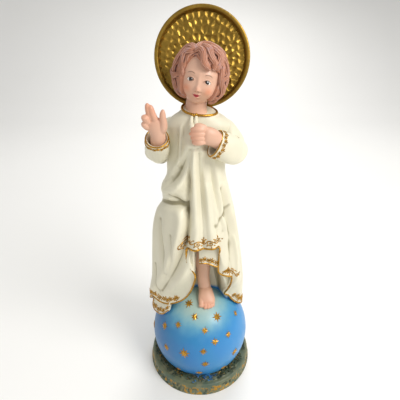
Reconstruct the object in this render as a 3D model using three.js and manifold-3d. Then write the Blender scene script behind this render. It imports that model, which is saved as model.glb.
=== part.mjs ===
// A painted resin statue of a young child in a long robe, one hand raised and the other gathering
// the cloth at the breast. The child stands barefoot on a starred globe that is set in a round
// mossy base. Figure, globe and base are one casting. A dished, hammered brass halo lies against
// the back of the hair. Millimetres, +Z up, the child faces -Y, +X is the child's left.
import * as THREE from "three";
import { mergeVertices } from "three/addons/utils/BufferGeometryUtils.js";
import Module from "manifold-3d";

const wasm = await Module();
wasm.setup();

// Driving sizes
const BASE_RADIUS = 63;
const BASE_TOP = 13.5;
const GLOBE_RADIUS = 57.5;
const GLOBE_CENTRE = 46;
const ROBE_TOP = 313;
const HEAD_CENTRE = new THREE.Vector3(0.5, -1, 340);
const HEAD_HALF = new THREE.Vector3(18.8, 20.5, 23.5);
const HEAD_ROLL = THREE.MathUtils.degToRad(12);
const HEAD_TURN = THREE.MathUtils.degToRad(-3);
const HALO_RADIUS = 44.3;
const HALO_CENTRE = new THREE.Vector3(2, 24.5, 354);
const HALO_LEAN = THREE.MathUtils.degToRad(9);
const PART_GAP = 0.3;

const { cos, sin, hypot, abs, min, max, exp, sqrt, PI } = Math;
const { degToRad, lerp, clamp } = THREE.MathUtils;
const easeIn = (x) => THREE.MathUtils.smoothstep(x, 0, 1);
const bump = (distance, width) => exp(-((distance / width) ** 2));

// A smooth curve through the rows of a table, [x, a, b, ...], which never overshoots between rows.
function curveThrough(rows) {
  const step = rows.slice(1).map((row, i) => row[0] - rows[i][0]);
  const rise = rows.slice(1).map((row, i) => row.map((v, k) => (v - rows[i][k]) / step[i]));
  const slope = rows.map((row, i) =>
    row.map((_, k) => {
      if (i === 0 || i === rows.length - 1) return 0;
      const [before, after] = [rise[i - 1][k], rise[i][k]];
      return before * after <= 0 ? 0 : (2 * before * after) / (before + after);
    }),
  );
  return (x) => {
    const at = clamp(x, rows[0][0], rows.at(-1)[0]);
    let i = rows.findIndex((row) => row[0] > at) - 1;
    if (i < 0) i = rows.length - 2;
    const t = (at - rows[i][0]) / step[i];
    const [h00, h10] = [(1 + 2 * t) * (1 - t) ** 2, t * (1 - t) ** 2];
    const [h01, h11] = [t * t * (3 - 2 * t), t * t * (t - 1)];
    return rows[i].slice(1).map((v, k) => {
      const [from, to] = [slope[i][k + 1], slope[i + 1][k + 1]];
      return h00 * v + h10 * step[i] * from + h01 * rows[i + 1][k + 1] + h11 * step[i] * to;
    });
  };
}

// A closed solid from a sphere whose every vertex is moved to place(around, along), both 0 to 1,
// around from back to back and along from its first pole to its last. Each four-sided cell is
// split along the diagonal that lies nearer the surface in its middle.
function warpedSphere(columns, rows, place) {
  const geometry = new THREE.SphereGeometry(1, columns, rows);
  const spots = geometry.attributes.position;
  for (let i = 0; i < spots.count; i++) {
    const row = Math.floor(i / (columns + 1));
    const column = (i % (columns + 1)) % columns;
    const p = place(column / columns, row / rows);
    spots.setXYZ(i, p.x, p.y, p.z);
  }
  const corner = (i) => new THREE.Vector3().fromBufferAttribute(spots, i);
  const index = [];
  for (let row = 0; row < rows; row++) {
    for (let column = 0; column < columns; column++) {
      const b = row * (columns + 1) + column;
      const [a, c, d] = [b + 1, b + columns + 1, b + columns + 2];
      if (row === 0) index.push(b, c, d);
      else if (row === rows - 1) index.push(a, b, d);
      else {
        const middle = place((column + 0.5) / columns, (row + 0.5) / rows);
        const across = (i, j) => corner(i).add(corner(j)).multiplyScalar(0.5).distanceTo(middle);
        if (across(b, d) < across(a, c)) index.push(a, b, d, b, c, d);
        else index.push(a, b, c, a, c, d);
      }
    }
  }
  geometry.setIndex(index);
  return solidOf(geometry);
}

function solidOf(geometry) {
  geometry.deleteAttribute("normal");
  geometry.deleteAttribute("uv");
  const merged = mergeVertices(geometry, 1e-3);
  const vertProperties = merged.attributes.position.array;
  const triVerts = new Uint32Array(merged.index.array);
  const solid = new wasm.Manifold(new wasm.Mesh({ numProp: 3, vertProperties, triVerts }));
  return solid.volume() > 0 ? solid : new wasm.Manifold(new wasm.Mesh({
    numProp: 3, vertProperties, triVerts: triVerts.reverse(),
  }));
}

function meshOf(name, solid, material) {
  const { vertProperties, triVerts } = solid.getMesh();
  const geometry = new THREE.BufferGeometry();
  geometry.setAttribute("position", new THREE.BufferAttribute(vertProperties, 3));
  geometry.setIndex(new THREE.BufferAttribute(triVerts, 1));
  geometry.computeVertexNormals();
  const mesh = new THREE.Mesh(geometry, material);
  mesh.name = name;
  return mesh;
}

const join = (solids) => solids.reduce((whole, solid) => whole.add(solid));

// The robe's plain form: at each height the middle and the half sizes of an oval.
// [height, middle x, middle y, half width, half depth]
const robeForm = curveThrough([
  [60, -2.5, 5, 57, 44],
  [80, -2.5, 5, 57, 44],
  [95, -2.5, 4, 56, 41],
  [110, -2.5, 2.5, 54.5, 39.5],
  [140, -2.5, 0, 50.5, 39.5],
  [170, -3, -2, 46.5, 38.5],
  [200, -4, -3, 42, 35],
  [230, -4, -2, 34, 27.5],
  [255, -4, -1, 28.5, 21],
  [280, -2.5, 0, 29.5, 19],
  [297, -1, 1, 31, 18],
  [305, -1.5, 1, 25, 16.5],
  [311, -2.5, 1, 15.5, 14],
  [318, -3.5, 1, 10, 10],
]);

function onRobe(degrees, height, out = 0) {
  const [x, y, halfWidth, halfDepth] = robeForm(height);
  const a = degToRad(degrees);
  const [nx, ny] = [sin(a) * halfDepth, -cos(a) * halfWidth];
  const n = out / hypot(nx, ny);
  return new THREE.Vector3(x + halfWidth * sin(a) + nx * n, y - halfDepth * cos(a) + ny * n, height);
}

// The hem. Each row is a point of it: where its column of cloth starts, where it ends, its height,
// how far it stands out and over what length above the hem it swings there.
// [start degrees, end degrees, height, out, reach]
const HEM = [
  [-180, -180, 78, -2, 60],
  [-130, -130, 78, -2, 60],
  [-100, -100, 79, 0, 60],
  [-86, -88, 86, 1.5, 40],
  [-74, -76, 97, 2, 40],
  [-62, -64, 103, 1, 40],
  [-52, -53, 101, -1, 40],
  [-43, -43, 99, -5, 45],
  [-34, -33, 101, -8, 45],
  [-26, -24, 105, -10, 45],
  [-20, -16, 113, -9, 45],
  [-16, -10, 124, -6, 42],
  [-13.5, -5, 139, -3, 36],
  [-11.5, -2.5, 152, 0, 30],
  [-10, -7, 162, -1, 30],
  [-8.5, -12.5, 172, -1, 32],
  [-7, -13.5, 180, 1, 32],
  [-5, -12, 185, 2, 32],
  [-1, -6, 187, 3.5, 25],
  [4, 2, 187.5, 4, 30],
  [10, 10, 187, 4, 35],
  [17, 18, 187.5, 4, 35],
  [23, 27, 187.5, 3, 35],
  [26, 31, 180, 0, 30],
  [29, 31, 168, -3, 22],
  [32, 30, 156, -5, 16],
  [35, 29.5, 151, -5, 12],
  [39, 35, 146, -3, 14],
  [43, 42, 143.5, -1, 18],
  [46.5, 46.5, 142, 0, 25],
  [49, 48, 130, -3, 30],
  [52, 47, 118, -8, 30],
  [55, 46, 107, -14, 32],
  [60, 54, 102, -13, 35],
  [66, 63, 93, -11, 40],
  [74, 72, 86, -6, 45],
  [86, 86, 80, -3, 55],
  [100, 100, 78, -2, 60],
  [130, 130, 78, -2, 60],
  [180, 180, 78, -2, 60],
];
const hemAt = curveThrough(HEM);

// Folds of the cloth: ridges stand out and grooves, with a minus, go in.
// [start degrees, height, middle degrees, height, end degrees, height, half width, out]
const FRONT_FOLDS = [
  [-12, 288, -33, 267, -64, 250, 3.6, 3],
  [-12, 281, -26, 262, -56, 241, 3.4, -3.4],
  [-9, 281, -20, 254, -46, 233, 4.6, 5],
  [-9, 282, -11, 245, -13, 190, 3.4, -7],
  [-5, 284, -2, 240, -1, 186, 4.8, 5],
  [1, 283, 9, 245, 9, 188, 3, -5],
  [5, 284, 16, 250, 20, 188, 4.4, 4.4],
  [14, 274, 16, 262, 17, 250, 3, -3],
  [12, 283, 31, 256, 40, 200, 3.6, -4],
  [19, 280, 42, 250, 50, 190, 5, 3.4],
  [52, 240, 53, 205, 44, 150, 4, -4.6],
  [66, 240, 66, 200, 58, 125, 5, 3],
  [64, 222, 47, 214, 29, 207, 3.4, -3],
  [-34, 246, -58, 240, -92, 240, 7, 7],
  [-16, 228, -48, 226, -92, 222, 4, -5],
  [-44, 236, -28, 230, -14, 222, 3.4, -3.4],
  [-13, 222, -17, 184, -51, 118, 4, -6],
  [-23, 220, -27, 187, -66, 116, 6, 5],
  [-68, 205, -56, 180, -46, 148, 4.4, -5],
  [-86, 212, -80, 170, -76, 110, 6, 3],
  [-8, 172, -18, 150, -34, 124, 5, 4],
  [-30, 300, -31, 284, -32, 266, 2.4, 2],
];
const BACK_FOLDS = [-160, -138, -116, 112, 134, 156, 178].flatMap((degrees, i) => [
  [degrees, 262 + 6 * (i % 2), degrees, 190, degrees + 2, 96, 5.5, 3.4],
  [degrees + 11, 250, degrees + 11, 180, degrees + 12, 96, 4.5, -3.4],
]);
const FOLD_STEPS = 10;
const folds = [...FRONT_FOLDS, ...BACK_FOLDS].map(([a0, z0, a1, z1, a2, z2, width, out]) => {
  const path = new THREE.QuadraticBezierCurve(
    new THREE.Vector2(a0, z0),
    new THREE.Vector2(2 * a1 - (a0 + a2) / 2, 2 * z1 - (z0 + z2) / 2),
    new THREE.Vector2(a2, z2),
  );
  return { points: path.getPoints(FOLD_STEPS), width, out };
});

// How far the folds move the cloth out at an angle and a height.
function foldsAt(degrees, height) {
  const [, , halfWidth, halfDepth] = robeForm(height);
  const perDegree = degToRad((halfWidth + halfDepth) / 2);
  let out = 0;
  for (const { points, width, out: most } of folds) {
    let [nearest, share] = [Infinity, 0];
    for (let i = 0; i < FOLD_STEPS; i++) {
      const [a, b] = [points[i], points[i + 1]];
      const [ux, uy] = [(b.x - a.x) * perDegree, b.y - a.y];
      const [vx, vy] = [(degrees - a.x) * perDegree, height - a.y];
      const t = clamp((ux * vx + uy * vy) / (ux * ux + uy * uy), 0, 1);
      const distance = hypot(vx - ux * t, vy - uy * t);
      if (distance < nearest) [nearest, share] = [distance, (i + t) / FOLD_STEPS];
    }
    out += most * bump(nearest, width) * (0.45 + 0.55 * sin(PI * clamp(share + 0.15, 0, 1)));
  }
  return out;
}

// The cloth drawn forward into the fist.
const gatheredAt = (degrees, height) =>
  9 * bump(degrees + 6, 20) * exp(-(((height - 286) / (height > 286 ? 9 : 26)) ** 2));

function robePoint(start, t) {
  const [end, hemHeight, hemOut, reach] = hemAt(start);
  const collar = ROBE_TOP - 2 * sin(degToRad(start)) - 3 * cos(degToRad(start));
  const height = lerp(collar, hemHeight, t);
  const swing = easeIn(1 - (height - hemHeight) / reach);
  const degrees = lerp(start, end, swing);
  const fade = easeIn((collar - height) / 14);
  const band = 1.3 * bump(collar - height, 1.5);
  const out = band + hemOut * swing + (foldsAt(degrees, height) + gatheredAt(degrees, height)) * fade;
  return onRobe(degrees, height, out);
}

// The plain lining inside the hem: a wall behind the cloth that stands back to a recess around
// the leg and goes down into the globe.
// [height, inset behind the robe's form, first and last degrees of the recess]
const liningAt = curveThrough([
  [74, 13, -34, 60], [92, 17, -28, 56], [110, 13, -18, 50], [124, 9, -10, 45],
  [140, 6, -4, 38], [188, 4, -2, 30],
]);
const RECESS_Y = 3;
function liningPoint(degrees, height) {
  const [inset, first, last] = liningAt(height);
  const open = easeIn((degrees - first + 2) / 4) * easeIn((last - degrees) / 9);
  const outer = onRobe(degrees, height, -inset);
  return outer.lerp(new THREE.Vector3(outer.x * 0.8, RECESS_Y, height), open);
}

// The robe: a closed skin from the collar down to the hem, round it and down the lining.
const ROBE_COLUMNS = 44;
const CLOTH_ROWS = 28;
const LINING_ROWS = 5;
const ROBE_ROWS = CLOTH_ROWS + LINING_ROWS + 2;
const CLOTH_THICKNESS = 5;
function robe() {
  const top = new THREE.Vector3(-2.5, 1, ROBE_TOP - 5);
  const bottom = new THREE.Vector3(0, 0, 70);
  return warpedSphere(ROBE_COLUMNS, ROBE_ROWS, (around, along) => {
    const w = 2 * around - 1;
    const start = 180 * (0.66 * w + 0.34 * w ** 3);
    const row = along * ROBE_ROWS;
    if (row < 0.9) return top;
    if (row > ROBE_ROWS - 0.1) return bottom;
    if (row <= CLOTH_ROWS + 0.1) return robePoint(start, ((row - 1) / (CLOTH_ROWS - 1)) ** 1.25);
    const edge = robePoint(start, 1);
    if (row < CLOTH_ROWS + 1.1) {
      const inward = new THREE.Vector3(-2.5 - edge.x, -edge.y, 0).normalize();
      return edge.addScaledVector(inward, CLOTH_THICKNESS).setZ(edge.z + 0.5);
    }
    const share = (row - CLOTH_ROWS - 2) / (LINING_ROWS - 1);
    return liningPoint(start, lerp(edge.z + 4, 76, share));
  });
}

// A piece of cloth with a thickness, from a box whose every vertex is moved to
// place(across, down, through), all 0 to 1, through from its back face to its front.
function warpedBox(columns, rows, place) {
  const geometry = new THREE.BoxGeometry(1, 1, 1, columns, rows, 1);
  const spots = geometry.attributes.position;
  for (let i = 0; i < spots.count; i++) {
    const p = place(spots.getX(i) + 0.5, 0.5 - spots.getY(i), spots.getZ(i) + 0.5);
    spots.setXYZ(i, p.x, p.y, p.z);
  }
  return solidOf(geometry);
}

// The layer that shows under the front hem at the child's left, with its own hem.
const underLayer = () => warpedBox(8, 4, (across, down, through) => {
  const height = lerp(196, 163 - 5 * across + 1.5 * sin(2 * PI * across), down);
  return onRobe(lerp(3, 36, across), height, lerp(-5, -8 + 3 * across, down) - 5 * (1 - through));
});

// The fold that comes out under the hem at the child's right and lies on the globe.
const TAIL_HEM = curveThrough([[-118, 78], [-85, 79], [-70, 77], [-60, 78.5], [-47, 84.7], [-38, 92]]);
const tailFold = () => warpedBox(12, 4, (across, down, through) => {
  const degrees = lerp(-118, -38, across);
  const out = lerp(-6 - 4 * across, -3.5 * across, down);
  return onRobe(degrees, lerp(118, TAIL_HEM(degrees)[0], down), out - 6 * (1 - through));
});

// A limb, finger or lock: a tube along a curve with rounded ends.
// Each knot is [x, y, z, radius across, radius along the reference direction].
const FORWARD = new THREE.Vector3(0, -1, 0);
function limb(knots, { sides = 10, steps = 8, toward = FORWARD, round = 0.2 } = {}) {
  const line = new THREE.CatmullRomCurve3(knots.map((k) => new THREE.Vector3(...k)));
  const radii = curveThrough(knots.map((k, i) => [i / (knots.length - 1), k[3], k[4] ?? k[3]]));
  return warpedSphere(sides, steps, (around, share) => {
    const along = 0.5 - 0.5 * cos(PI * share);
    const tangent = line.getTangent(along);
    const ahead = toward.clone().addScaledVector(tangent, -toward.dot(tangent)).normalize();
    const across = new THREE.Vector3().crossVectors(tangent, ahead);
    const edge = max(0, 1 - min(along, 1 - along) / round);
    const [rAcross, rAhead] = radii(along).map((r) => r * sqrt(max(0, 1 - edge * edge)));
    const turn = 2 * PI * around;
    return line.getPoint(along)
      .addScaledVector(across, rAcross * cos(turn))
      .addScaledVector(ahead, rAhead * sin(turn));
  });
}

// A sleeve: a wide tube that opens at the wrist, turned in to a hollow mouth.
// Each knot is [x, y, z, radius across, radius ahead]; the mouth's rim lies square to mouthFacing.
function sleeve(knots, toward, wrinkle) {
  const line = new THREE.CatmullRomCurve3(knots.map((k) => new THREE.Vector3(...k)));
  const radii = curveThrough(knots.map((k, i) => [i / (knots.length - 1), k[3], k[4]]));
  const [sides, rows, outer] = [12, 11, 8];
  return warpedSphere(sides, rows, (around, along) => {
    const row = along * rows;
    const inner = max(0, row - outer);
    const share = row <= outer ? row / outer : 1 - 0.09 * (inner - 1);
    const tangent = line.getTangent(share);
    const ahead = toward.clone().addScaledVector(tangent, -toward.dot(tangent)).normalize();
    const across = new THREE.Vector3().crossVectors(tangent, ahead);
    const open = row < 0.1 || row > rows - 0.1 ? 0 : sqrt(clamp(share / 0.12, 0.2, 1));
    const turn = 2 * PI * around;
    const folds = inner ? 0 : wrinkle(turn, share);
    const hollow = inner ? 1.6 + 0.8 * inner : 0;
    const [rAcross, rAhead] = radii(share).map((r) => (r + folds - hollow) * open);
    return line.getPoint(share)
      .addScaledVector(across, rAcross * cos(turn))
      .addScaledVector(ahead, rAhead * sin(turn));
  });
}

function sleeves() {
  const raised = sleeve(
    [
      [-16, 3, 301, 7, 7],
      [-27, 4, 293, 10.5, 11],
      [-36, 3, 281, 11.5, 12],
      [-40, -5, 273.5, 11.5, 11],
      [-38.5, -15, 281, 11, 11],
      [-38, -22, 291, 10.5, 11.5],
    ],
    new THREE.Vector3(0, -1, 0.2),
    (turn, share) => 0.9 * sin(3 * turn + 7 * share) * sin(PI * share),
  );
  const holding = sleeve(
    [
      [14, 3, 300, 7, 7],
      [24, 3, 292, 11, 11],
      [30, -2, 280.5, 12, 12.5],
      [30.5, -10, 276.5, 12.6, 12.5],
      [24, -19, 280.5, 13, 10],
      [13, -26, 287, 12.4, 7.6],
    ],
    new THREE.Vector3(0, -1, 0.2),
    (turn, share) => 0.9 * sin(3 * turn + 9 * share) * sin(PI * share),
  );
  return [raised, holding];
}

// The two short pleats that the fist pulls down from the neck opening.
const neckPleats = () => [-7, -3].map((x) =>
  limb([[x, -13.6, 309.5, 1.4], [x - 0.6, -19, 304, 2], [x + 0.4, -27, 300, 2.6]], { sides: 5, steps: 4 }));

// The raised hand, palm forward: two fingers up, two curled, the thumb apart.
function raisedHand() {
  const small = { sides: 6, steps: 4, round: 0.25 };
  return [
    limb([
      [-39, -10, 276, 6.4], [-37.6, -19, 286, 7], [-36.6, -24.6, 294.5, 6.6, 5.4],
      [-37.8, -26.6, 302.5, 7.4, 4.6], [-40, -27.6, 309.6, 6.6, 3.8],
    ], { sides: 8, steps: 7 }),
    limb([[-36.4, -28, 305, 2.9], [-39.4, -29, 313, 2.7], [-41.2, -29.6, 320.6, 2.2]], small),
    limb([[-40.4, -27.4, 306, 2.9], [-42.6, -28.4, 314, 2.7], [-43.6, -29, 322, 2.2]], small),
    limb([[-42.4, -27, 304, 3], [-45.6, -30, 309.4, 3.2], [-46, -31.6, 312, 2.6]], small),
    limb([[-43, -26, 299.6, 2.8], [-46.4, -29, 303.8, 3], [-47, -30.6, 306.4, 2.4]], small),
    limb([
      [-33.4, -25.6, 295, 4], [-30.8, -28, 303.6, 3.4], [-31.2, -29, 310.6, 2.8], [-30.6, -29.4, 317, 2.1],
    ], small),
  ];
}

// The hand at the breast, closed on the cloth: the back of the hand and four fingers.
function holdingHand() {
  const small = { sides: 6, steps: 4, round: 0.25 };
  const fingers = [0, 1, 2, 3].map((i) => {
    const z = 301.4 - 3.6 * i;
    const reach = 1 - 0.13 * abs(i - 1);
    const tip = [-9.4 * reach, -33.2, z - 0.4, 2.1];
    return limb([[5, -34, z - 0.4, 2.2], [-2 * reach, -36, z, 2.6], tip], small);
  });
  return [
    limb([
      [22, -20, 284, 7], [15, -26, 289.6, 7, 6], [8, -30.6, 294.6, 8, 6], [1, -32.4, 296, 7.2, 4.8],
    ], { sides: 8, steps: 7 }),
    limb([[6, -32.4, 301, 2.8], [0, -34, 304, 2.6], [-5, -33.4, 303.4, 2.1]], small),
    ...fingers,
  ];
}

// The leg that shows under the lifted hem, with its bare foot.
const FOOT_TOES = [
  [1.4, -25.4, 2.9], [6, -26.4, 2.1], [9.4, -25.8, 2], [12.6, -24.4, 1.9], [15.2, -22.4, 1.8],
];
function legAndFoot() {
  const onGlobe = (x, y, r) => sqrt((GLOBE_RADIUS + r * 0.7) ** 2 - x * x - y * y) + GLOBE_CENTRE;
  const toes = FOOT_TOES.map(([x, y, r]) => limb([
    [x, y + 8, onGlobe(x, y + 8, r) + 2, r],
    [x, y + 2, onGlobe(x, y + 2, r) + 0.8, r],
    [x, y - 2, onGlobe(x, y - 2, r), r * 1.05],
  ], { sides: 5, steps: 4 }));
  return [
    limb([
      [3, -1, 176, 10], [3, -3, 150, 9.4], [3.6, -4, 126, 7.4], [5, -4, 113, 7.4], [5, -3, 104, 7],
    ], { sides: 9, steps: 6 }),
    limb([
      [5.4, 1, 104, 7, 6], [6.4, -9, 107.5, 8, 6], [7.6, -18, 103, 9.6, 5], [8, -24, 98.5, 8.8, 3.6],
    ], { toward: new THREE.Vector3(0, 0, 1), steps: 7, sides: 10 }),
    ...toes,
  ];
}

// From the head's own frame, middle at its origin, to its place on the neck.
const headTurn = new THREE.Matrix4()
  .makeRotationY(HEAD_ROLL)
  .multiply(new THREE.Matrix4().makeRotationZ(HEAD_TURN))
  .setPosition(HEAD_CENTRE);
const onHead = (p) => p.applyMatrix4(headTurn);

// What the plain face adds to the egg of the head: [x, z, half width, half height, out] from the
// middle of the head, each once on either side of the middle line.
const FACE = [
  [0, -8.4, 2, 2.3, 2], [0, -3, 1.6, 4.5, 0.8], [1.9, -9.3, 1.4, 1.2, 0.9],
  [7.2, -2.2, 4, 2.7, -2.1], [7.2, -2.2, 2.9, 1.7, 1.7], [6.8, 4, 5.2, 1.8, 0.6],
  [9.5, -11, 5, 5, 1.5], [1.6, -13, 2.6, 1, 0.8], [0.8, -15.2, 2.4, 1, 0.7],
  [1.6, -14.1, 3.6, 0.6, -0.5], [0, -20, 4.4, 2.6, 1],
];

function headSurface(direction) {
  const { x, y, z } = direction;
  const low = easeIn(-z);
  const narrow = 1 - 0.14 * low - 0.08 * low * low * easeIn(-y);
  const p = new THREE.Vector3(x * HEAD_HALF.x * narrow, y * HEAD_HALF.y, z * HEAD_HALF.z);
  if (y > 0) p.y *= 0.92;
  const front = easeIn(-2 * y);
  const rise = FACE.reduce((sum, [fx, fz, wide, high, out]) => {
    const at = (side) => exp(-(((p.x - side * fx) / wide) ** 2) - ((p.z - fz) / high) ** 2);
    return sum + out * (at(1) + at(-1));
  }, 0);
  return p.addScaledVector(direction, rise * front);
}

const spherePoint = (around, along) => {
  const [turn, tilt] = [2 * PI * around, PI * along];
  return new THREE.Vector3(-sin(turn) * sin(tilt), cos(turn) * sin(tilt), cos(tilt));
};

// The skull, with its vertices closest together on the face, and the neck.
function head() {
  const skull = warpedSphere(26, 18, (around, along) => {
    const turned = around + (0.65 * sin(2 * PI * around)) / (2 * PI);
    const lowered = along - 0.06 * sin(2 * PI * (along - 0.6)) * sin(PI * along);
    return onHead(headSurface(spherePoint(turned, lowered)));
  });
  const neck = limb([
    [-3.6, 1, 300, 12.5, 11], [-3.8, 1, 308, 10.6, 9.8], [-3.4, 1.4, 316, 9.6, 9.6], [-1, 1, 330, 9.2, 9.4],
  ], { sides: 10, steps: 5, round: 0.12 });
  return [skull, neck];
}

// A direction from the middle of the head: degrees round from the face, then degrees up.
function headDirection(round, up) {
  const [a, e] = [degToRad(round), degToRad(up)];
  return new THREE.Vector3(sin(a) * cos(e), -cos(a) * cos(e), sin(e));
}

// The hair's lower edge above the face, at degrees round.
const hairline = curveThrough([[-46, 12], [-38, 32], [-28, 40], [-8, 34], [10, 25], [30, 24], [50, 16]]);

function hairCap() {
  return warpedSphere(20, 10, (around, along) => {
    const direction = spherePoint(around, along);
    const round = THREE.MathUtils.radToDeg(Math.atan2(direction.x, -direction.y));
    const up = THREE.MathUtils.radToDeg(Math.asin(clamp(direction.z, -1, 1)));
    const face = easeIn((54 - abs(round - 4)) / 12) * easeIn((hairline(round)[0] + 4 - up) / 10);
    const nape = easeIn((-direction.z - 0.62) / 0.25);
    const p = headSurface(direction);
    return onHead(p.addScaledVector(direction, lerp(3, -4, max(face, nape))));
  });
}

// Each lock runs over the head: [degrees round, degrees up, how far out, radius] knots.
const LOCKS = [
  [[-30, 50, 3, 3], [-80, 50, 3.5, 3.6], [-86, 28, 4, 3.4], [-84, 14, 4.5, 3], [-90, 6, 6, 1.8]],
  [[-32, 46, 3, 2.6], [-58, 36, 3.5, 3.2], [-57, 20, 2.6, 2.6], [-49, 4, 1.4, 2], [-50, -6, 0.5, 1.2]],
  [[-86, 20, 4, 2.6], [-84, 2, 4.5, 3.2], [-82, -18, 4, 3], [-76, -38, 3, 2.6], [-54, -52, 0.5, 1.6]],
  [[-92, 8, 5, 2], [-84, -2, 6, 2.4], [-70, -6, 4, 2.2], [-52, 2, 1, 1.4]],
  [[-34, 56, 1.6, 3], [-60, 78, 1.4, 3.6], [60, 80, 2, 4], [84, 52, 3, 3.8], [90, 30, 3, 3]],
  [
    [-34, 46, 2, 2.6], [-14, 50, 4, 3.2], [0, 41, 4.2, 3], [4, 29, 3.4, 2.6], [14, 22, 2.6, 2.2],
    [24, 18, 1.6, 1.3],
  ],
  [[-20, 62, 3.5, 2.8], [10, 52, 5, 3.2], [20, 39, 4.4, 3], [32, 30, 3, 2.6], [31, 18, 1.4, 1.4]],
  [[0, 72, 2.4, 3], [40, 56, 3.6, 3.4], [52, 42, 4.6, 3.2], [44, 28, 3, 2.6], [34, 20, 1.6, 1.4]],
  [[40, 66, 2.4, 3], [74, 42, 3.4, 3.4], [86, 22, 3.6, 3.2], [80, 8, 3.6, 2.6], [60, 2, 2, 1.6]],
  [
    [60, 34, 3.5, 2.6], [58, 18, 2.6, 2.6], [60, 0, 2.6, 2.8], [74, -14, 4, 3], [78, -28, 4, 2.6],
    [62, -36, 1.5, 1.4],
  ],
  [[92, 20, 3, 3], [94, 0, 3.8, 3.2], [98, -22, 3.6, 3], [88, -42, 3.5, 2.4], [72, -50, 2, 1.4]],
  [[-120, 50, 2, 3.4], [-110, 24, 2.5, 3.8], [-118, -4, 2.5, 3.8], [-108, -30, 2.5, 3.2], [-116, -50, 2, 1.8]],
  [[-160, 56, 1, 3.6], [-146, 28, 1, 4], [-156, -2, 1, 4], [-144, -30, 1, 3.4], [-152, -52, 1, 1.8]],
  [[160, 60, 1, 3.6], [172, 30, 1, 4], [162, 0, 1, 4], [174, -30, 1, 3.4], [168, -54, 1, 1.8]],
  [[116, 56, 2, 3.6], [130, 28, 2.5, 4], [122, -2, 2.5, 4], [134, -30, 2.5, 3.4], [126, -52, 2, 1.8]],
];
const locks = () => LOCKS.map((lock) => {
  const knots = lock.map(([round, up, out, radius]) => {
    const direction = headDirection(round, up);
    const p = onHead(headSurface(direction).addScaledVector(direction, out));
    return [p.x, p.y, p.z, radius, radius * 0.8];
  });
  const toward = headDirection(lock[2][0], lock[2][1]);
  return limb(knots, { sides: 5, steps: lock.length + 1, toward, round: 0.2 });
});

// The room the halo takes, cut from the back of the hair so that its floor lies against it.
const haloFrame = new THREE.Matrix4().makeRotationX(-HALO_LEAN).setPosition(HALO_CENTRE);
const HALO_FLOOR = 1.2;
const HAMMER_DEPTH = 1.4;
function haloRoom() {
  const depth = 30;
  const room = new THREE.CylinderGeometry(HALO_RADIUS - 6, HALO_RADIUS - 6, depth, 20);
  room.translate(0, HALO_FLOOR - HAMMER_DEPTH - PART_GAP + depth / 2, 0);
  return solidOf(room.applyMatrix4(haloFrame));
}

const GLOBE_COLUMNS = 32;
function globe() {
  return warpedSphere(GLOBE_COLUMNS, 14, (around, along) => {
    const p = spherePoint(around, along).multiplyScalar(GLOBE_RADIUS);
    return p.setZ(max(p.z + GLOBE_CENTRE, 4));
  });
}

// The base: a low disc with a rough side, a smooth shoulder and a ring of moss against the globe.
const BASE_PROFILE = [
  [0, 0], [BASE_RADIUS, 0], [BASE_RADIUS, 1.5], [BASE_RADIUS - 1, 5], [BASE_RADIUS - 1.2, 9],
  [BASE_RADIUS - 3.6, 12.6], [BASE_RADIUS - 6, BASE_TOP - 0.4], [BASE_RADIUS - 9.5, BASE_TOP + 1.6],
  [BASE_RADIUS - 14, BASE_TOP + 1], [0, BASE_TOP],
];
function base() {
  const geometry = new THREE.LatheGeometry(BASE_PROFILE.map(([r, z]) => new THREE.Vector2(r, z)), 36);
  geometry.rotateX(PI / 2);
  const spots = geometry.attributes.position;
  for (let i = 0; i < spots.count; i++) {
    const [x, y, z] = [spots.getX(i), spots.getY(i), spots.getZ(i)];
    const turn = Math.atan2(y, x);
    const moss = 0.5 * sin(15 * turn + 1.3 * z) + 0.3 * sin(9 * turn - z);
    const rough = z > 2 && hypot(x, y) > 30 ? moss : 0;
    const shrink = 1 - (max(0, rough) * 0.8) / BASE_RADIUS;
    spots.setXYZ(i, x * shrink, y * shrink, z > BASE_TOP ? z + rough : z);
  }
  return solidOf(geometry);
}

// The halo: a shallow dish with a raised rim and a hammered floor, in its own frame facing -Y.
const HALO_BACK = [[0, 2], [39, 2], [41.6, 0.6], [HALO_RADIUS, -2]];
const HALO_RIM = [[HALO_RADIUS, -3.4], [42.6, -4], [41, -3.4], [39.4, -0.6]];
const HALO_RINGS = [36.6, 31, 25, 18.6, 11.6, 5];
function halo() {
  const rings = [...HALO_BACK, ...HALO_RIM, ...HALO_RINGS.map((r) => [r, 0]), [0, 0]];
  const profile = rings.map(([r, d]) => new THREE.Vector2(r, d));
  const geometry = new THREE.LatheGeometry(profile, 28);
  const spots = geometry.attributes.position;
  for (let i = 0; i < spots.count; i++) {
    const ring = i % rings.length;
    const column = Math.floor(i / rings.length) % 28;
    const floor = ring >= HALO_BACK.length + HALO_RIM.length && ring < rings.length - 1;
    if (!floor) continue;
    const raised = (column + ring) % 2;
    const uneven = 0.5 + 0.5 * sin(7.3 * column + 3.1 * ring);
    spots.setY(i, raised ? -HAMMER_DEPTH * (0.65 + 0.35 * uneven) : 0);
  }
  geometry.translate(0, HALO_FLOOR, 0);
  return solidOf(geometry.applyMatrix4(haloFrame));
}

const resin = new THREE.MeshStandardMaterial({ color: 0xd8d2bc, roughness: 0.5, metalness: 0 });
const brass = new THREE.MeshStandardMaterial({ color: 0x9a7a2e, roughness: 0.35, metalness: 0.9 });

const statue = join([
  robe(), underLayer(), tailFold(), ...sleeves(), ...neckPleats(),
  ...raisedHand(), ...holdingHand(), ...legAndFoot(),
  ...head(), hairCap(), ...locks(), globe(), base(),
]).subtract(haloRoom());

const group = new THREE.Group();
group.add(meshOf("statue", statue, resin));
group.add(meshOf("halo", halo(), brass));

export default group;
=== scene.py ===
"""A painted resin child statue on a starred globe, with a hammered brass halo."""

import math

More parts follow.
